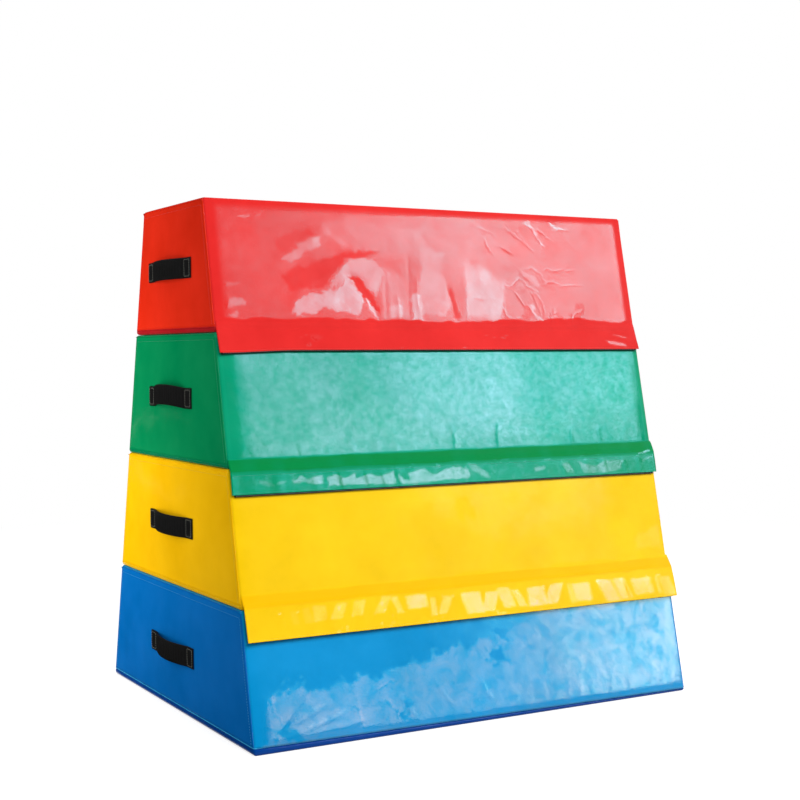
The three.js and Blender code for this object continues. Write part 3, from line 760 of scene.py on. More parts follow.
def corners(numbers):
    # x and height pairs, from millimetres
    return [(x / 1000, h / 1000) for x, h in zip(numbers[::2], numbers[1::2])]


def fromLine(x, h, a, b):
    # how far each point is from the line between two places, and on which side of it
    (x0, h0), (x1, h1) = a, b
    run, up = x1 - x0, h1 - h0
    along = np.clip(((x - x0) * run + (h - h0) * up) / (run * run + up * up), 0, 1)
    return np.hypot(x - x0 - along * run, h - h0 - along * up), np.sign((h - h0) * run - (x - x0) * up)


def patched(value, x, h, patches):
    # inside each outline the gloss takes the patch's own value, with a soft edge
    for soft, level, *numbers in patches:
        outline = corners(numbers)
        inside, near = np.zeros(x.shape, bool), np.full(x.shape, 1e9)
        for a, b in zip(outline, outline[1:] + outline[:1]):
            near = np.minimum(near, fromLine(x, h, a, b)[0])
            if a[1] != b[1]:
                inside ^= ((a[1] > h) != (b[1] > h)) & (x < a[0] + (h - a[1]) * (b[0] - a[0]) / (b[1] - a[1]))
        share = smoothStep(0.5 + np.where(inside, near, -near) / (soft / 1000))
        value = value * (1 - share) + level * share
    return value


def paintedCreaseShading(value, x, h, lines):
    # painted shade and highlight: each fine crease is drawn into the gloss as a duller dark line with a glossier
    # bright one beside it
    dark, bright = gloss["paintedCreaseWidths"]
    for line in lines:
        near, side = np.full(x.shape, 1e9), np.zeros(x.shape)
        for a, b in zip(corners(line), corners(line)[1:]):
            away, which = fromLine(x, h, a, b)
            side = np.where(away < near, which, side)
            near = np.minimum(near, away)
        value = value * (1 - 0.62 * np.exp(-(((near * side + dark * 0.6) / dark) ** 2)))
        value = value + 0.65 * np.exp(-(((near * side - bright * 1.1) / bright) ** 2))
    return value


def wallGloss(colourName, x, h):
    seed = 2100 + stack["colours"].index(colourName) * 11
    x, h = np.broadcast_arrays(x, h)
    ragged = gloss["ragged"][colourName]
    xr = x + ragged * (finer(x, h, (0.030, 0.011), seed) + 0.3 * softNoise(x, h, 0.005, seed + 7))
    hr = h + ragged * (finer(x, h, (0.026, 0.009), seed + 2) + 0.3 * softNoise(x, h, 0.005, seed + 8))
    left, right = gloss["level"][colourName]
    value = left + (right - left) * smoothStep((x - gloss["turn"][colourName]) / 0.42)
    value = value * (1 + 0.12 * softNoise(x, h, 0.07, seed + 4))
    value = patched(value, xr, hr, gloss["patches"][colourName])
    # painted crease shade and highlights, in the gloss
    value = paintedCreaseShading(value, xr * 0.5 + x * 0.5, hr * 0.5 + h * 0.5, gloss["creases"].get(colourName, []))
    foot, wavy = gloss["foot"][colourName]
    line = foot + wavy * finer(x, 0 * x, (0.055, 0.018), seed + 5, (1, 0.5))
    value = value * smoothStep(0.5 + (h - line) / 0.003)
    for band, away in zip(gloss["sides"][colourName], (x + stack["halfLength"], stack["halfLength"] - x)):
        value = value * smoothStep((away - band * 0.6) / (0.5 * band + 0.001))
    return value * smoothStep((lidHeight - h - gloss["top"] * 0.5) / gloss["top"])


def flapGloss(name, x, down):
    seed = 2300 + stack["colours"].index(name) * 11
    band, lower, patches = gloss["flaps"][name]
    depth = down - flaps[name]["above"]
    value = band + (lower - band) * smoothStep((depth - flaps[name]["fold"] - 0.002) / 0.008)
    xr = x + 0.0016 * finer(x, depth, (0.012, 0.0048), seed)
    depthR = depth + 0.0010 * finer(x, depth, (0.010, 0.004), seed + 2)
    value = patched(value, xr, depthR, patches)
    for centre, half, slant, top, low, level in gloss["streaks"] if name == "yellow" else []:
        wide, strength = gloss["weakStreak" if centre / 1000 < gloss["streakTurn"] else "strongStreak"]
        away = np.abs(xr - centre / 1000 - slant * (depth - 0.02)) / (half / 1000 * wide)
        share = smoothStep((1.15 - away) / 0.4)
        share = share * smoothStep((depthR - top / 1000) / 0.004) * smoothStep((low / 1000 - depthR) / 0.004)
        value = np.maximum(value, level * share * strength)
    scuffs = smoothStep((softNoise(x, depth, 0.006, seed + 5) * softNoise(x, depth, 0.05, seed + 6) - 0.42) / 0.1)
    return value + 0.7 * scuffs * smoothStep((depth - 0.004) / 0.004)


def flapPaintedShade(name, x, down):
    # painted shade: the darker band where the flap leaves its wall
    depth = down - flaps[name]["above"]
    top, low, soft, under = gloss["paintedShadeBand"][name]
    wavy = 0.0012 * softNoise(x, 0 * x, 0.06, 2400 + len(name)) + 0.0006 * softNoise(x, 0 * x, 0.015, 2401)
    share = smoothStep((depth - top - wavy) / soft) * (1 - smoothStep((depth - low - wavy) / soft) * (1 - under))
    return share * (1 + 0.2 * softNoise(x, depth, 0.03, 2402 + len(name)))


def setValues(piece, word, values, rest):
    # values for the outer face's points; the rest of the sheet is plain
    whole = np.full(len(piece.data.vertices), rest, np.float32)
    whole[:values.size] = values.ravel()
    piece.data.attributes.new(word, "FLOAT", "POINT").data.foreach_set("value", whole)


def randomPleats(x, h, seed, strength):
    # short pleats that stand on the lower seam and lean a little
    rng = np.random.default_rng(seed)
    total = np.zeros(np.broadcast(x, h).shape)
    for _ in range(wrap["pleats"]["count"]):
        centre, lean, half, reach, rise, foot = (rng.uniform(*wrap["pleats"][word]) for word in (
            "centre", "lean", "half", "reach", "rise", "foot"))
        rise = strength * rise
        across = (x - centre - lean * h) / half
        upright = smoothStep((h - foot + 0.01) / 0.02) * smoothStep((foot + reach - h) / reach)
        total += rise * np.exp(-across**2) * upright
    return total


def wallRelief(colourName, side, x, h):
    # how far the sheet stands off the flat wall, at x along it and height h above the section's base
    seed = stack["seed"] + stack["colours"].index(colourName) * 20 + (0 if side < 0 else 10)
    ends = stack["halfLength"] - wrap["inset"] - np.abs(x)
    band = lambda gap, width: 1 - np.clip(1 - gap / width, 0, 1) ** 2
    sides = band(ends, wrap["sideBand"])
    flapped = side < 0 and colourName != "blue"
    lowBand = wrap["lowBand"]["flapped" if flapped else "free"]
    top, low = band(lidHeight - h, wrap["topBand"]), band(h - wrap["lowStart"], lowBand)
    hold = sides * top * low
    slow, dents, pleats = wrap["slack"][colourName]
    relief = wrap["crown"] * hold
    relief = relief + slow * hold * softNoise(x, h, 0.16, seed)
    relief = relief + dents * hold * finer(x, h, (0.045, 0.022), seed + 1)
    edge = np.sqrt(np.clip(hold, 0, 1))
    relief = relief + edge * randomPleats(x, h, seed + 3, pleats)
    if side < 0:
        relief = relief + edge * foldField(x, h, wrap["folds"][colourName])
        flatAbove, release = wrap["pressed"][colourName]
        share = smoothStep((stack["height"] - h - flatAbove) / release)
        return relief * share + wrap["pressedStand"] * (1 - share)
    # flat under the zip
    under = zips["wallStand"] + (stack["slope"] - zips["lean"]) * (h - zips["height"])
    away, beyond = np.abs(h - zips["height"]), np.abs(x) - zips["length"] / 2
    half, soft, past, softPast = zips["bed"]
    share = smoothStep((half - away) / soft) * smoothStep((past - beyond) / softPast)
    return relief * (1 - share) + under * share


def endColumns(step):
    # stations along X, closer together where the sheet turns into the end seams
    half = stack["halfLength"] - wrap["inset"]
    inner = half - wrap["close"][-1]
    middle = np.linspace(-inner, inner, int(round(2 * inner / step)) + 1)
    left = -half + np.array(wrap["close"][:-1])
    return np.concatenate([left, middle, -left[::-1]])


def roundOff(gap, radius):
    # how far a rounded edge has dropped at a distance from where it ends
    inside = np.clip(1 - gap / radius, 0, 1)
    return radius * (1 - np.sqrt(np.clip(1 - inside**2, 0, 1)))


def wallRows(level, side, step):
    # rows up a wall and round its upper edge: y, z, normal y, normal z, side, height above the base
    z0 = level * stack["height"]
    edge = wrap["edge"]
    foot = footOf(level)
    tangent = lidHeight - edge + edge * sinTilt
    centreY, centreZ = halfWidthAt(z0 + tangent) - edge * cosTilt, z0 + lidHeight - edge
    rows = []
    for h in np.linspace(foot, tangent, int(round((tangent - foot) / step)) + 1):
        rows.append((side * halfWidthAt(z0 + h), z0 + h, side * cosTilt, sinTilt, side, h))
    for angle in np.linspace(tilt, math.pi / 2, 6)[1:]:
        y, z = centreY + edge * math.cos(angle), centreZ + edge * math.sin(angle)
        rows.append((side * y, z, side * math.cos(angle), math.sin(angle), side, z - z0))
    return rows


def wrapProfile(level):
    # rows across the whole sheet, from the front seam to the rear seam
    front = wallRows(level, -1, wrap["step"][stack["colours"][level]])
    rear = wallRows(level, 1, wrap["rearStep"])
    lidHalf = rear[-1][0]
    count = int(round(2 * lidHalf / wrap["lidStep"]))
    z = level * stack["height"] + lidHeight
    lid = [(y, z, 0.0, 1.0, 0, lidHeight) for y in np.linspace(-lidHalf, lidHalf, count + 1)[1:-1]]
    return np.array(front + lid + rear[::-1])


def puff(level, h):
    # the top section's padding stands a little proud at its upper edge
    rise, start, width = wrap["puff"]
    return (rise if level == 3 else 0.0) * smoothStep((h - start) / width)


def lidRelief(level, x, y):
    # the lid dips a little between its seams; only the top one, which carries nothing, may swell
    seed = stack["seed"] + 300 + level * 7
    half = halfWidthAt((level + 1) * stack["height"])
    fall = np.clip((half - np.abs(y)) / 0.03, 0, 1) * np.clip((stack["halfLength"] - np.abs(x)) / 0.03, 0, 1)
    uneven = finer(x, y, (0.12, 0.04), seed, (1, 0.5))
    if level == 3:
        swell, waves = wrap["topLid"]
        return fall * (swell + waves * uneven)
    dip, waves = wrap["lid"]
    return -fall * (dip + waves * uneven)


def makeWrap(level):
    name = stack["colours"][level]
    profile = wrapProfile(level)
    xs = endColumns(wrap["step"][name])
    x = xs[None, :]
    y, z, ny, nz, side, h = [profile[:, k][:, None] for k in range(6)]
    stand = np.zeros((len(profile), len(xs)))
    for wallSide in (-1, 1):
        rows = profile[:, 4] == wallSide
        stand[rows] = wallRelief(name, wallSide, x, h[rows])
    rows = profile[:, 4] == 0
    stand[rows] = lidRelief(level, x, y[rows])
    stand = stand - roundOff(stack["halfLength"] - wrap["inset"] - np.abs(x), wrap["corner"])
    puffed = puff(level, h)
    outer = np.stack(np.broadcast_arrays(x, y + ny * stand, z + nz * stand + puffed), axis=-1)
    outer = followRim(level, outer)
    piece = shell(name + "_wrap_sheet", outer, wrap["thickness"], 4, (0, 0, 1))
    shine = np.full(stand.shape, 0.9)
    front = profile[:, 4] < 0
    shine[front] = wallGloss(name, x, h[front])
    shine[profile[:, 4] == 0] = wrap["lidGloss"]
    setValues(piece, "gloss", shine, 0.8)
    finishPiece(piece, name + "_section", name + "_cover", coverMaterials[name], name + "_wrap_cover")
    length = float(np.linalg.norm(np.diff(profile[:, :2], axis=0), axis=1).sum())
    return piece, length


# End panels
ends = {
    "step": 0.006,
    "crown": 0.008,  # swell in the middle
    "crownFoot": 0.015,  # height at which it starts
    "fade": 0.03,  # width over which the unevenness falls away at the seams
    "strapBed": (0.15, 0.125, 0.04),  # plain behind the handle: half width, height, half height
    "deepest": 0.0042,  # how far the rolled edge goes back
    "inset": 0.0034,  # of the panel's edge from the outline, where the piping lies
    "roll": 0.0030,
    "thickness": 0.0030,
    "piping": 0.0014,
    "sunk": 0.0012,  # how far the piping lies behind the outline
    "topstitch": 0.010,  # from the corner
    "close": np.array([0, 0.0005, 0.0012, 0.0021, 0.0032, 0.0048, 0.0075]),  # rows of points near the edge
}


def endSwell(level, y, h):
    middle = (ends["crownFoot"] + lidHeight) / 2
    up = (h - middle) / (lidHeight - middle)
    across = y / halfWidthAt(level * stack["height"] + h)
    return ends["crown"] * np.clip(1 - across**2, 0, 1) * np.clip(1 - up**2, 0, 1)


def endSurface(level, side, y, h):
    # x of the end panel's outer face
    seed = stack["seed"] + 500 + level * 9 + (0 if side < 0 else 4)
    z0 = level * stack["height"]
    half = halfWidthAt(z0 + h) - ends["inset"]
    gapSide, gapTop = (half - np.abs(y)) * cosTilt, lidHeight - ends["inset"] - h
    drop = roundOff(gapSide, ends["roll"]) + roundOff(gapTop, ends["roll"])
    fall = np.clip(gapSide / ends["fade"], 0, 1) * np.clip(gapTop / ends["fade"], 0, 1)
    fall = fall * np.clip((h - 0.016) / 0.02, 0, 1)
    wide, middle, high = ends["strapBed"]
    offStrap = 1 - np.exp(-((y / wide) ** 4 + ((h - middle) / high) ** 4))
    uneven = finer(y, h, (0.11, 0.04), seed, (0.0009, 0.0004))
    swell = endSwell(level, y, h)
    return side * (stack["halfLength"] + swell - np.minimum(drop, ends["deepest"]) + fall * offStrap * uneven)


def makeEnd(level, side):
    name = stack["colours"][level]
    word = stack["ends"][side]
    z0 = level * stack["height"]
    close, last = ends["close"], ends["close"][-1]
    foot, top = footOf(level), lidHeight - ends["inset"]
    rows = int(round((top - last - foot) / ends["step"]))
    hs = np.concatenate([np.linspace(foot, top - last, rows + 1)[:-1], top - close[::-1]])
    columns = int(round(2 * halfWidthAt(z0) / ends["step"]))

    def onEnd(y, h):
        return np.stack(np.broadcast_arrays(endSurface(level, side, y, h), y, z0 + h + puff(level, h)), axis=-1)

    grid = []
    for h in hs:
        half = halfWidthAt(z0 + h) - ends["inset"]
        inner = np.linspace(last - half, half - last, columns + 1)
        ys = np.concatenate([-half + close[:-1], inner, half - close[:-1][::-1]])
        grid.append(onEnd(ys, h))
    outer = followRim(level, np.array(grid))
    piece = shell(name + "_" + word + "_end_sheet", outer, ends["thickness"], 3, (side, 0, 0))
    node = name + "_" + word + "_end_panel"
    # the end panel in its darker or hue-shifted vinyl: painted light and shade
    finishPiece(piece, name + "_section", name + "_cover", endMaterials[name], node)
    rim = np.concatenate([outer[:, 0], outer[-1, 1:], outer[::-1, -1][1:]])
    # piping in the seam, and topstitching beside it
    path = rim.copy()
    path[:, 0] = side * (stack["halfLength"] - ends["sunk"])
    shrink = 1.0 / np.maximum(np.abs(path[:, 1]), 1e-6) * (np.abs(path[:, 1]) + 0.0006)
    path[:, 1] *= np.clip(shrink, 1, 1.01)
    path[:, 2] = np.minimum(path[:, 2] + 0.0004, z0 + lidHeight + puff(level, lidHeight) - ends["inset"] + 0.0006)
    bead = tube(name + "_" + word + "_end_piping", resample(path, 0.006), ends["piping"])
    finishPiece(bead, name + "_section", name + "_cover", endMaterials[name])
    rows = []
    edgeGap = ends["topstitch"]
    h = np.linspace(foot + 0.004, top - edgeGap, 60)
    for yEdge in (-1, 1):
        rows.append((onEnd(yEdge * (halfWidthAt(z0 + h) - edgeGap), h), (side, 0, 0)))
    reach = halfWidthAt(z0 + h[-1]) - edgeGap
    rows.append((onEnd(np.linspace(-reach, reach, 120), h[-1]), (side, 0, 0)))
    sew(name + "_" + word + "_end_topstitch", rows, "cover", name + "_section", name + "_cover",
        threadMaterials[name])


# Base panel: a tray turned up to its seam
base = {
    "rounding": 0.006,
    "thickness": 0.001,
    "corner": 0.004,  # radius of the tray's upright corners
    "piping": 0.0011,
    "tuck": 0.0012,  # how far the rim draws in at its seam
}


def baseRing(level, inset, h):
    # a rectangle with rounded corners, moved in by an inset at height h
    z = level * stack["height"] + h
    halfX, halfY = stack["halfLength"] - inset, halfWidthAt(z) - inset
    radius = max(0.0005, base["corner"] - inset * 0.5)
    points = []
    for cornerX, cornerY, start in ((1, 1, 0), (-1, 1, 90), (-1, -1, 180), (1, -1, 270)):
        for angle in np.radians(np.linspace(start, start + 90, 5)):
            points.append((cornerX * (halfX - radius) + radius * math.cos(angle),
                           cornerY * (halfY - radius) + radius * math.sin(angle)))
    ring = []
    for k, p in enumerate(points):
        n = points[(k + 1) % len(points)]
        share = 24 if k % 5 == 4 else 1
        for s in range(share):
            ring.append((p[0] + (n[0] - p[0]) * s / share, p[1] + (n[1] - p[1]) * s / share, z))
    ring = np.array(ring)
    rim = stack["rims"][stack["colours"][level]]
    bend = base["rounding"] * 0.5
    ring[:, 2] -= rimDrop(level, ring[:, 0], ring[:, 1]) * np.clip((h - bend) / (rim - bend), 0, 1)
    return ring


def makeBase(level):
    name = stack["colours"][level]
    radius, thick = min(base["rounding"], stack["rims"][name] - 0.001), base["thickness"]
    steps = []
    for inset in (0.30, 0.22, 0.15, 0.09, 0.045, 0.02):
        if inset < halfWidthAt((level + 1) * stack["height"]) * 0.85:
            steps.append((inset, 0.0))
    for angle in np.linspace(-90, 0, 6):
        a = math.radians(angle)
        steps.append((radius - radius * math.cos(a), radius + radius * math.sin(a)))
    rim = stack["rims"][name]
    for share in (0.25, 0.5, 0.75, 0.9, 1.0):
        h = radius + (rim - radius) * share
        steps.append((base["tuck"] * smoothStep((share - 0.5) * 2) - 0.0004 * math.sin(math.pi * share), h))
    outerRings = [baseRing(level, inset, h) for inset, h in steps]
    innerRings = [baseRing(level, inset + thick, max(h, thick)) for inset, h in steps]
    piece = ringBody(name + "_base_tray", np.array(outerRings + innerRings[::-1]))
    # the tray in its darker vinyl: painted shade
    finishPiece(piece, name + "_section", name + "_base", baseMaterials[name], name + "_base_panel")
    seam = baseRing(level, 0.0004, rim + 0.0003)
    bead = tube(name + "_base_piping", seam, base["piping"], True)
    finishPiece(bead, name + "_section", name + "_base", pipingMaterials[name])


# Foam blocks, inside the covers
foam = {
    "inset": 0.0055,
    "swell": 0.0010,
    "edge": 0.004,  # how much the long edges are rounded off
    "cells": 0.0003,  # roughness of the cut face
}


def makeFoam(level):
    name = stack["colours"][level]
    z0 = level * stack["height"]
    inset = foam["inset"]
    seed = stack["seed"] + 700 + level
    low, high = inset * 0.4, lidHeight - inset
    profile = []
    for h in np.linspace(low, high, 12):
        s = 2 * (h - low) / (high - low) - 1
        profile.append((halfWidthAt(z0 + h) - inset - foam["edge"] * abs(s) ** 9 + foam["swell"] * (1 - s * s), h))
    across = np.linspace(-1, 1, 26)
    ring = [(-y, h) for y, h in profile]
    ring += [(profile[-1][0] * a, high) for a in across[1:-1]]
    ring += [(y, h) for y, h in profile[::-1]]
    ring += [(profile[0][0] * a, low) for a in across[::-1][1:-1]]
    ring = np.array(ring)
    xs = np.concatenate([[0, 0.0015, 0.004], np.linspace(0.01, 2 * (stack["halfLength"] - inset) - 0.01, 40)])
    xs = np.concatenate([xs, 2 * (stack["halfLength"] - inset) - np.array([0.004, 0.0015, 0])])
    xs = xs - (stack["halfLength"] - inset)
    centre, rings = np.array([0, (low + high) / 2]), []
    for x in xs:
        shrink = float(roundOff(stack["halfLength"] - inset - abs(x), foam["edge"]))
        rough = np.abs(foam["cells"] * softNoise(ring[:, 0] * 3 + x, ring[:, 1] * 3 - x, 0.02, seed))
        y, h = ((ring - centre) * (1 - shrink / 0.12) + centre).T
        rings.append(np.stack([np.full(len(ring), x), y - rough * np.sign(y), z0 + h], axis=1))
    piece = ringBody(name + "_foam_block", np.array(rings))
    finishPiece(piece, name + "_section", "foam", foamMaterial, name + "_foam_core")


for level in range(4):
    makeFoam(level)
print("foam blocks ready")
for level in range(4):
    sheetPiece, wrapLength = makeWrap(level)
    for side in (-1, 1):
        makeEnd(level, side)
    makeBase(level)
print("covers ready")


# Flaps: each leaves its wall above the joint, clears the strips and hangs over the section below
flaps = {
    "hinge": 0.0154,  # above the joint
    "blend": (0.0035, 0.0100),  # how far above and below the hinge the cloth still bends
    "thickness": 0.0012,
    "sink": 0.0005,  # of the flap's upper edge, into its wall's cover
    "step": 0.0030,
    # above: where it starts, above the joint; reach: its two ends; fold: where the flare ends, below the joint;
    # stand-off at the fold and at the hem; unevenness; ripples in mm: centre, half width, rise
    "red": {"drop": 0.040, "above": 0.022, "reach": (-0.4874, 0.4877), "fold": 0.018, "ease": 0.9,
            "stands": (0.0068, 0.0098), "slow": 0.0004, "fine": 0.0001, "leans": [], "rise": 0.0046},
    "green": {"drop": 0.048, "above": 0.019, "reach": (-0.4886, 0.4900), "fold": 0.005, "ease": 1.0,
              "stands": (0.0085, 0.0068), "slow": 0.0004, "fine": 0.0002, "leans": [
        (-400, 12, 0.4), (-325, 12, 0.6), (-270, 6, 0.6), (-215, 6, 0.7), (-180, 6, 0.7), (-145, 7, 0.6),
        (-30, 12, 0.6), (10, 6, 0.6), (60, 9, 0.5), (200, 10, 0.7), (240, 7, 0.7), (300, 10, 0.7), (345, 7, 0.7),
        (400, 6, 0.7), (440, 8, 0.8), (470, 5, 0.8)]},
    "yellow": {"drop": 0.057, "above": 0.029, "reach": (-0.4876, 0.4922), "fold": -0.004, "ease": 1.5,
               "stands": (0.0105, 0.0148), "slow": 0.0004, "fine": 0.0002, "leans": [
        (-330, 10, 0.6), (-262, 11, 0.7), (-195, 7, 0.8), (-120, 10, 0.7), (-40, 8, 0.7), (16, 6, 0.7), (90, 10, 0.7),
        (160, 8, 0.8), (203, 6, 0.7), (285, 10, 0.8), (350, 7, 0.8), (420, 9, 0.8)]},
}


def hemRise(name, x):
    # how much shorter the flap is than at its left end
    return flaps[name].get("rise", 0.0) * smoothStep((x + 0.487) / 0.16)


def flapStand(name, x, down):
    # stand-off of the flap's outer face, at a depth below its start
    look = flaps[name]
    seed = stack["seed"] + 900 + stack["colours"].index(name) * 5
    above, drop = look["above"], look["drop"]
    joint = down - above  # below the joint
    onWall = wallRelief(name, -1, x, above - np.minimum(down, above)) - flaps["sink"]
    ease = look["ease"] * (1 - 0.35 * smoothStep((x - 0.43) / 0.05))  # the right end lifts sooner
    leave = np.clip(down / (above + look["fold"]), 0, 1) ** ease
    free = np.clip((joint - look["fold"]) / (drop - look["fold"]), 0, 1)
    wave = look["slow"] * softNoise(x, down, 0.11, seed + 2)
    wave = wave + look["fine"] * softNoise(x, down * 0.5, 0.028, seed + 3)
    for numbers in look["leans"]:
        centre, half, rise = (v / 1000 for v in numbers)
        ripple = rise * np.exp(-(((x - centre - 0.25 * joint) / half) ** 2))
        wave = wave + ripple * smoothStep((joint - 0.004) / 0.010)
    ending = np.clip((stack["halfLength"] - np.abs(x)) / 0.02, 0, 1)
    curl = 0.0010 * (1 - ending) ** 2
    atFold, atHem = look["stands"]
    hanging = atFold + (atHem - atFold) * free + smoothStep(free * 2) * (wave * (0.35 + 0.65 * ending) + curl)
    return onWall * (1 - leave) + hanging * leave


def onFlap(name, x, depth):
    # points of the flap's outer face at a depth below the joint
    down = np.full(np.shape(x), flaps[name]["above"] + depth)
    z = stack["colours"].index(name) * stack["height"] - depth + hemRise(name, x) * depth / flaps[name]["drop"]
    return offWall(x, z, flapStand(name, x, down), -1)


def makeFlap(level):
    name = stack["colours"][level]
    body = name + "_front_flap"
    joint = level * stack["height"]
    drop = flaps[name]["drop"]
    left, right = flaps[name]["reach"]
    xs = np.linspace(left, right, int(round((right - left) / flaps["step"])) + 1)
    above, total, fold = flaps[name]["above"], flaps[name]["above"] + drop, flaps[name]["above"] + flaps[name]["fold"]
    close = fold + np.array([-0.0016, -0.0006, 0.0, 0.0006, 0.0016])
    even = np.linspace(0, total, int(total / 0.0022) + 1)
    downs = np.sort(np.concatenate([even[np.abs(even - fold) > 0.0022], close, [total - 0.0008]]))
    x, down = np.meshgrid(xs, downs)
    lift = hemRise(name, x) * np.clip((down - above) / drop, 0, 1)
    outer = offWall(x, joint + above - down + lift, flapStand(name, x, down), -1)
    piece = shell(name + "_front_flap_leaf", outer, flaps["thickness"], 1, (0, -1, 0.2))
    setValues(piece, "gloss", flapGloss(name, x, down), 0.8)
    # painted shade: the darker band on the flap's flare
    if name in gloss["paintedShadeBand"]:
        setValues(piece, "paintedShade", flapPaintedShade(name, x, down), 0.0)
    finishPiece(piece, None, name + "_cover", coverMaterials[name], body)
    hinge = offWall(0.0, joint + flaps["hinge"], 0.0, -1)
    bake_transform(piece)
    # stitching: along the hook strip's upper edge on the green flap, and along the hem, near the strip's lower edge
    normal = (0, -cosTilt, sinTilt)
    hookTop = drop + hooks["reveal"][name] - hooks["width"] + 0.003
    depths = (max(0.0055, hookTop), drop - 0.003) if name == "green" else (drop - 0.003,)
    rows = [(onFlap(name, xs, depth)[2:-2], normal) for depth in depths]
    sew(body + "_stitches", rows, "cover", body, name + "_cover", threadMaterials[name])


# Hook strips inside the flaps and loop strips on the walls below
hooks = {
    "width": 0.040,
    "thickness": 0.0022,
    "cloth": 0.0016,  # of the tape itself, under its hooks
    "inset": 0.008,
    "ridge": 0.0005,
    "pitch": 0.0020,  # of the rows of hooks
    "plain": (0.003, 0.001),  # edge without hooks, and over what width they begin
    "glue": 0.0002,  # between tape and flap
    "stitch": 0.0014,  # from the lower edge
    "reveal": {"red": 0.0020, "green": 0.0030, "yellow": 0.0006},  # how much shows under the hem
}
loops = {"width": 0.030, "near": 0.0003, "thickness": 0.0020, "cloth": 0.0008, "pile": 0.0005, "stitch": 0.0016}


def makeHooks(level):
    # the hooks face the wall; the strip's back is sewn to the inside of the flap
    name = stack["colours"][level]
    joint = level * stack["height"]
    drop = flaps[name]["drop"]
    low = -drop - hooks["reveal"][name]
    half = stack["halfLength"] - hooks["inset"]
    xs = np.linspace(-half, half, 200)
    hs = np.linspace(low, low + hooks["width"], 81)
    x, h = np.meshgrid(xs, hs)
    edge = np.minimum(h - low, low + hooks["width"] - h)
    ridge = hooks["ridge"] * (0.5 - 0.5 * np.cos(2 * math.pi * h / hooks["pitch"]))
    ridge = ridge * smoothStep((edge - hooks["plain"][0]) / hooks["plain"][1])
    ragged = 0.6 + 0.4 * softNoise(x, h * 4, 0.006, 1300 + level)
    back = flapStand(name, x, flaps[name]["above"] + np.minimum(-h, drop)) - flaps["thickness"] - hooks["glue"]
    outer = offWall(x, joint + h + hemRise(name, x), back - hooks["thickness"] + hooks["ridge"] - ridge * ragged, -1)
    piece = shell(name + "_front_hook_tape", outer, hooks["cloth"], 1, (0, 1, 0))
    body = name + "_front_flap"
    finishPiece(piece, body, "hook_and_loop", hookMaterial, name + "_front_hook_strip")
    line = flapStand(name, xs, np.full(len(xs), flaps[name]["above"] + drop)) - flaps["thickness"]
    path = offWall(xs, joint + low + hooks["stitch"] + hemRise(name, xs), line - hooks["glue"], -1)
    sew(body + "_tape_stitches", [(path, (0, -cosTilt, sinTilt))], "cover", body, "hook_and_loop", paleThread)


def makeLoops(level):
    name = stack["colours"][level]
    joint = (level + 1) * stack["height"]
    above = stack["colours"][level + 1]
    low = -flaps[above]["drop"] - hooks["reveal"][above]
    half = stack["halfLength"] - hooks["inset"]
    xs = np.linspace(-half, half, 241)
    hs = np.linspace(low, low + loops["width"], 21)
    x, h = np.meshgrid(xs, hs)
    pile = loops["pile"] * (0.5 + 0.5 * softNoise(x, h, 0.004, 1400 + level))
    edge = smoothStep(np.minimum(h - low, low + loops["width"] - h) / 0.003)
    rise = 0.0009 + (loops["thickness"] - 0.0009 - loops["pile"] + pile) * edge

    def onTape(x, h, rise):
        h = h + hemRise(above, x)
        return offWall(x, joint + h, wallRelief(name, -1, x, stack["height"] + h) + loops["near"] + rise, -1)

    outer = onTape(x, h, rise)
    piece = shell(name + "_front_loop_tape", outer, loops["cloth"], 1, (0, -1, 0))
    finishPiece(piece, name + "_section", "hook_and_loop", loopMaterial, name + "_front_loop_strip")
    along = np.linspace(-half, half, 200)
    rows = [(onTape(along, low + inset, 0.0014), (0, -cosTilt, sinTilt))
            for inset in (loops["stitch"], loops["width"] - loops["stitch"])]
    sew(name + "_front_loop_stitches", rows, "cover", name + "_section", "hook_and_loop", paleThread)


for level in range(4):
    if level > 0:
        makeFlap(level)
        makeHooks(level)
    if level < 3:
        makeLoops(level)
print("flaps and strips ready")


# Carry handles: black webbing, sewn down at both ends
strap = {
    "length": 0.230,
    "width": 0.040,
    "thickness": 0.0024,
    "sewn": 0.030,
    "bow": 0.014,  # how far it arches off the panel
    "stand": 0.0003,
    "rib": 0.0025,  # spacing of the weave's ribs
    "ribHeight": 0.00022,
    "cup": 0.0012,  # how much lower its two edges are in the middle of the arch
    "twist": 0.0010,
    "box": (0.003, 0.004),  # of the stitching, from the end and from the edges
    "rise": {"blue": 0.0, "yellow": 0.0, "green": 0.006, "red": 0.0},
}


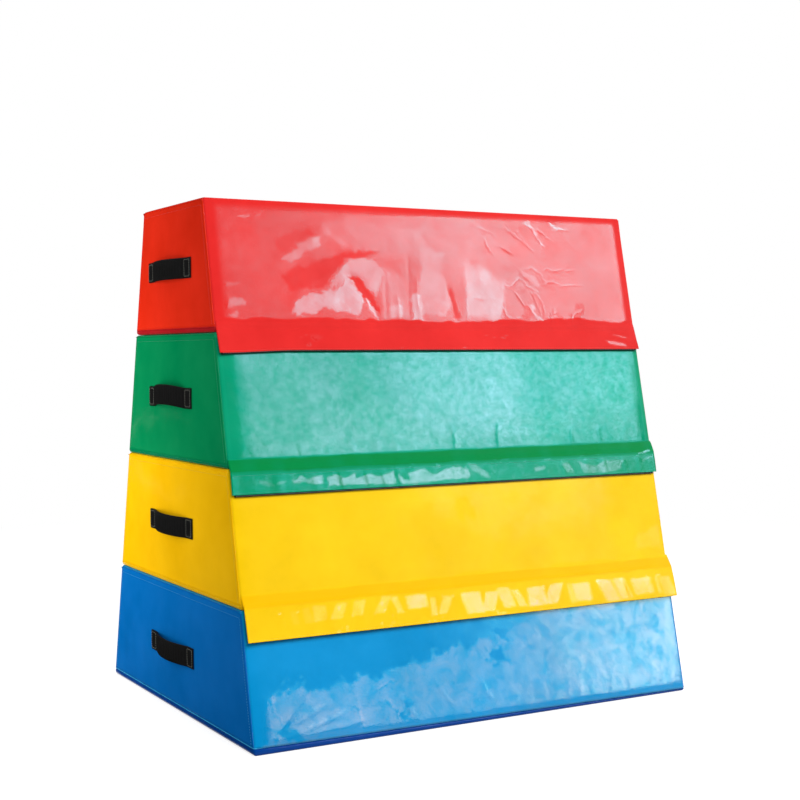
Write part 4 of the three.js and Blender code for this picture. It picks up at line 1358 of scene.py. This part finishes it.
def makeStrap(level, side):
    name = stack["colours"][level]
    word = stack["ends"][side]
    z0 = level * stack["height"]
    grip = strap["length"] / 2 - strap["sewn"]
    ys = np.linspace(-strap["length"] / 2, strap["length"] / 2, 185)
    across = np.linspace(-0.5, 0.5, 17)
    y, a = np.meshgrid(ys, across)
    arch = np.clip(1 - (y / grip) ** 2, 0, 1)
    h = lidHeight / 2 + strap["width"] * a + strap["rise"][name] * arch
    ribs = strap["ribHeight"] * np.cos(2 * math.pi * y / strap["rib"]) * np.cos(math.pi * a * 0.9)
    selvedge = -0.0005 * np.clip((np.abs(a) - 0.44) / 0.06, 0, 1) ** 2
    cup = -strap["cup"] * arch * (2 * a) ** 2
    twist = strap["twist"] * arch * softNoise(y, a * 0.05, 0.08, 1500 + level * 2 + (side > 0))
    stand = strap["stand"] + strap["thickness"] + strap["bow"] * arch + ribs + selvedge + cup + twist
    x = side * (stack["halfLength"] + endSwell(level, y, h) + stand)
    outer = np.stack([x, y, z0 + h], axis=-1)
    piece = shell(name + "_" + word + "_strap", outer, strap["thickness"] - 0.0003, 1, (side, 0, 0))
    finishPiece(piece, name + "_section", "webbing", strapMaterial, name + "_" + word + "_handle")
    rows = []
    fromEnd, fromEdge = strap["box"]
    near, far, lift = grip + fromEnd, strap["length"] / 2 - fromEnd, strap["width"] / 2 - fromEdge
    box = np.array([(near, -lift), (near, lift), (far, lift), (far, -lift), (near, -lift)])
    for end in (-1, 1):
        for first, last in zip(box, box[1:]):
            y, h = np.linspace(first * (end, 1), last * (end, 1), 16).T + [[0], [lidHeight / 2]]
            x = stack["halfLength"] + endSwell(level, y, h) + strap["stand"] + strap["thickness"] + 0.0002
            rows.append((np.stack([side * x, y, z0 + h], axis=1), (side, 0, 0)))
    sew(name + "_" + word + "_strap_stitches", rows, "strap", name + "_section", "webbing", paleThread)


for level in range(4):
    for side in (-1, 1):
        makeStrap(level, side)
print("handles ready")


def onZip(level, x, up, out):
    # a point on the zip's tape: along it, up from the teeth and off the wall
    lean = math.atan(zips["lean"])
    z0 = level * stack["height"] + zips["height"]
    wall = halfWidthAt(z0) + zips["wallStand"] / cosTilt
    y = wall - up * math.sin(lean) + out * math.cos(lean)
    return np.stack(np.broadcast_arrays(x, y, z0 + up * math.cos(lean) + out * math.sin(lean)), axis=-1)


def makeZip(level):
    name = stack["colours"][level]
    half, reach = zips["length"] / 2, zips["width"] / 2
    x, up = np.meshgrid(np.linspace(-half, half, 441), np.linspace(-reach, reach, 27))
    weave = zips["weave"] * np.cos(2 * math.pi * up / 0.0020) * (np.abs(up) > 0.003)
    cord = 0.0003 * np.exp(-(((np.abs(up) - 0.0040) / 0.0007) ** 2))
    fray = -0.0004 * np.clip((np.abs(up) - reach + 0.001) / 0.001, 0, 1)
    outer = onZip(level, x, up, zips["near"] + zips["thickness"] + weave + cord + fray)
    piece = shell(name + "_zip_tape_cloth", outer, zips["cloth"], 1, (0, 1, 0))
    finishPiece(piece, name + "_section", "zip_tape", zipClothMaterial, name + "_zip_tape")
    points, faces = [], []
    along, across, high = zips["tooth"]
    foot = zips["near"] + zips["thickness"]
    for k, centre in enumerate(np.arange(-half + 0.004, half - 0.004, zips["toothPitch"])):
        turn = 0.0007 if k % 2 else -0.0007
        start = len(points)
        for out, narrow in ((foot - 0.0002, 1.0), (foot + high * 0.7, 1.0), (foot + high, 0.6)):
            for sx, su in ((-1, -1), (1, -1), (1, 1), (-1, 1)):
                points.append(onZip(level, centre + sx * along / 2 * narrow, turn + su * across / 2 * narrow, out))
        faces.append(tuple(start + i for i in (3, 2, 1, 0)))
        for ring in (0, 4):
            for s in range(4):
                t = (s + 1) % 4
                faces.append((start + ring + s, start + ring + t, start + ring + 4 + t, start + ring + 4 + s))
        faces.append(tuple(start + 8 + i for i in range(4)))
    first = faces[:10]  # of one tooth, which shows how all are turned
    if faceOut(points[:12], first) is not first:
        faces = [f[::-1] for f in faces]
    teeth = newObject(name + "_zip_teeth", points, faces, False)
    finishPiece(teeth, name + "_section", "zip_tape", toothMaterial)
    along = np.linspace(-half + 0.002, half - 0.002, 300)
    rows = [(onZip(level, along, up, foot + 0.0001), (0, 1, 0.19)) for up in (-reach + 0.003, reach - 0.003)]
    sew(name + "_zip_stitches", rows, "cover", name + "_section", name + "_cover", threadMaterials[name])
    for node in (name + "_zip_slider", name + "_zip_pull"):
        bpy.data.objects[node].material_slots[0].material = zipMetalMaterial


for level in range(4):
    makeZip(level)
print("zips ready")


# Floor and light
floor = {
    "half": 16.0,
    "grey": 0.50,
    "lift": 0.72,  # added to what the camera sees near the object
    "shadowReach": (1.2, 3.2),  # how far out the floor turns plain white
}


def floorMaterial():
    # the camera and the gloss see it white, with the object's shadow near the object
    material, tree, place = newMaterial("paleFloor")
    plain = tree.nodes["Principled BSDF"].outputs["BSDF"]
    grey = (floor["grey"],) * 3
    tone = ramp(tree, noise(tree, place, 3.0), [(0.3, scaled(grey, 0.99)), (0.7, scaled(grey, 1.01))])
    surface(tree, {"Base Color": tone, "Roughness": 0.9, "Specular IOR Level": 0.0})
    lift, white = [addNode(tree, "Emission", 0, {"Strength": level}) for level in (floor["lift"], 1.0)]
    away = addNode(tree, "VectorMath", "Value", {0: place}, operation="LENGTH")
    share = spread(tree, away, *floor["shadowReach"], 0.0, 1.0)
    lifted = addNode(tree, "AddShader", 0, {0: plain, 1: lift})
    seen = addNode(tree, "MixShader", 0, {0: share, 1: lifted, 2: white})
    final = addNode(tree, "MixShader", 0, {0: seenRay(tree), 1: plain, 2: seen})
    setSockets(tree, tree.nodes["Material Output"], {"Surface": final})
    material.cycles.emission_sampling = "NONE"
    return material


def seenRay(tree):
    # 1 for rays of the camera, of gloss and through glass
    value = addNode(tree, "LightPath", "Is Camera Ray", {})
    for ray in ("Is Glossy Ray", "Is Transmission Ray"):
        value = combine(tree, "MAXIMUM", value, addNode(tree, "LightPath", ray, {}))
    return value


half = floor["half"]
floorPiece = newObject("studioFloor", [(-half, -half, 0), (half, -half, 0), (half, half, 0), (-half, half, 0)],
                       [(0, 1, 2, 3)], False)
floorPiece.data.materials.append(floorMaterial())

# Dark studio cloth that only the gloss sees: behind the softboxes, and on the floor by the left end
cloth = {
    "radius": 9.0,
    "height": 9.5,
    "bearings": (-212, 78),
    "onFloor": [(-8.0, -3.0), (-0.492, -3.0), (-0.492, 8.0), (-8.0, 8.0)],
    "grey": 0.006,
}


def makeCloth():
    material, tree, place = newMaterial("darkStudioCloth")
    grey = (cloth["grey"],) * 3
    tone = ramp(tree, noise(tree, place, 60.0), [(0.3, scaled(grey, 0.8)), (0.7, scaled(grey, 1.2))])
    surface(tree, {"Base Color": tone, "Roughness": 1.0, "Specular IOR Level": 0.0})
    points, faces = [], []
    for k, bearing in enumerate(np.linspace(*cloth["bearings"], 49)):
        b = math.radians(bearing)
        x, y = cloth["radius"] * math.sin(b), -cloth["radius"] * math.cos(b)
        points += [(x, y, 0.0), (x, y, cloth["height"])]
        if k:
            faces.append((2 * k - 2, 2 * k, 2 * k + 1, 2 * k - 1))
    curtain = newObject("studioCurtain", points, faces, False)
    mat = newObject("studioFloorCloth", [(x, y, 0.002) for x, y in cloth["onFloor"]], [(0, 1, 2, 3)], False)
    for piece in (curtain, mat):
        piece.data.materials.append(material)
        piece.visible_camera = piece.visible_diffuse = piece.visible_shadow = False
        piece.visible_transmission = piece.visible_volume_scatter = False


makeCloth()

light = {
    "world": 0.26,  # plain level all round
    "lamps": [
        # name, bearing from the front to the right, elevation, distance, width, height, brightness, colour, seen in
        ("softboxLeft", 23.5, 28.0, 6.4, 1.45, 1.90, 5.0, (0.74, 0.93, 1.0), "all"),
        ("softboxMiddle", 33.5, 27.2, 6.4, 0.80, 2.05, 8.5, (0.74, 0.93, 1.0), "all"),
        ("softboxRight", 46.5, 26.6, 6.4, 2.12, 2.15, 9.5, (0.76, 0.94, 1.0), "gloss"),
        ("flapSoftbox", 33.0, 15.6, 6.3, 2.9, 0.90, 7.0, (0.92, 0.98, 1.0), "gloss"),
        ("lowSoftbox", 47.0, 3.6, 6.0, 2.3, 0.90, 13.0, (0.95, 0.98, 1.0), "gloss"),
        ("lowStrip", 26.0, 6.0, 6.0, 2.2, 1.50, 4.2, (0.95, 0.98, 1.0), "gloss"),
        ("fillFront", -4, 36, 6.0, 4.0, 3.0, 6.9, (1.0, 1.0, 1.0), "diffuse"),
        ("leftRear", -112, 3, 1.30, 0.40, 1.20, 3.9, (1.0, 0.97, 0.86), "diffuse"),
        ("softboxRear", 150, 26, 6.4, 2.6, 2.2, 7.0, (0.90, 0.96, 1.0), "all"),
        ("fillRear", 110, 30, 6.0, 4.0, 3.0, 2.0, (1.0, 1.0, 1.0), "diffuse"),
    ],
    "aim": (0.0, 0.0, 0.5),
    "narrow": {"leftRear": (140, (-0.49, 0.30, 0.54))},  # beam spread in degrees, and where it points
}


def makeLamp(name, bearing, elevation, distance, width, height, brightness, colour, seenIn):
    b, e = math.radians(bearing), math.radians(elevation)
    aim = Vector(light["aim"])
    out = Vector((math.sin(b) * math.cos(e), -math.cos(b) * math.cos(e), math.sin(e)))
    lamp = bpy.data.lights.new(name, "AREA")
    lamp.shape = "RECTANGLE"
    lamp.size, lamp.size_y = width, height
    lamp.energy = brightness * width * height * math.pi
    lamp.color = colour
    holder = bpy.data.objects.new(name, lamp)
    holder.location = aim + out * distance
    beam = -out
    if name in light["narrow"]:
        beamWidth, target = light["narrow"][name]
        lamp.spread = math.radians(beamWidth)
        beam = (Vector(target) - holder.location).normalized()
    holder.rotation_euler = beam.to_track_quat("-Z", "Y").to_euler()
    holder.visible_camera = False
    holder.visible_glossy = seenIn != "diffuse"
    holder.visible_diffuse = seenIn != "gloss"
    bpy.context.collection.objects.link(holder)


for lamp in light["lamps"]:
    makeLamp(*lamp)


def makeWorld():
    world = bpy.data.worlds.new("paleStudio")
    bpy.context.scene.world = world
    world.use_nodes = True
    tree = world.node_tree
    sky, white = tree.nodes["Background"], (1, 1, 1, 1)
    setSockets(tree, sky, {"Color": white, "Strength": light["world"]})
    seen = addNode(tree, "Background", 0, {"Color": white, "Strength": 1.0})
    final = addNode(tree, "MixShader", 0, {0: seenRay(tree), 1: sky.outputs["Background"], 2: seen})
    setSockets(tree, tree.nodes["World Output"], {"Surface": final})


makeWorld()
bpy.context.scene.view_settings.view_transform = "Standard"
print("floor and light ready")
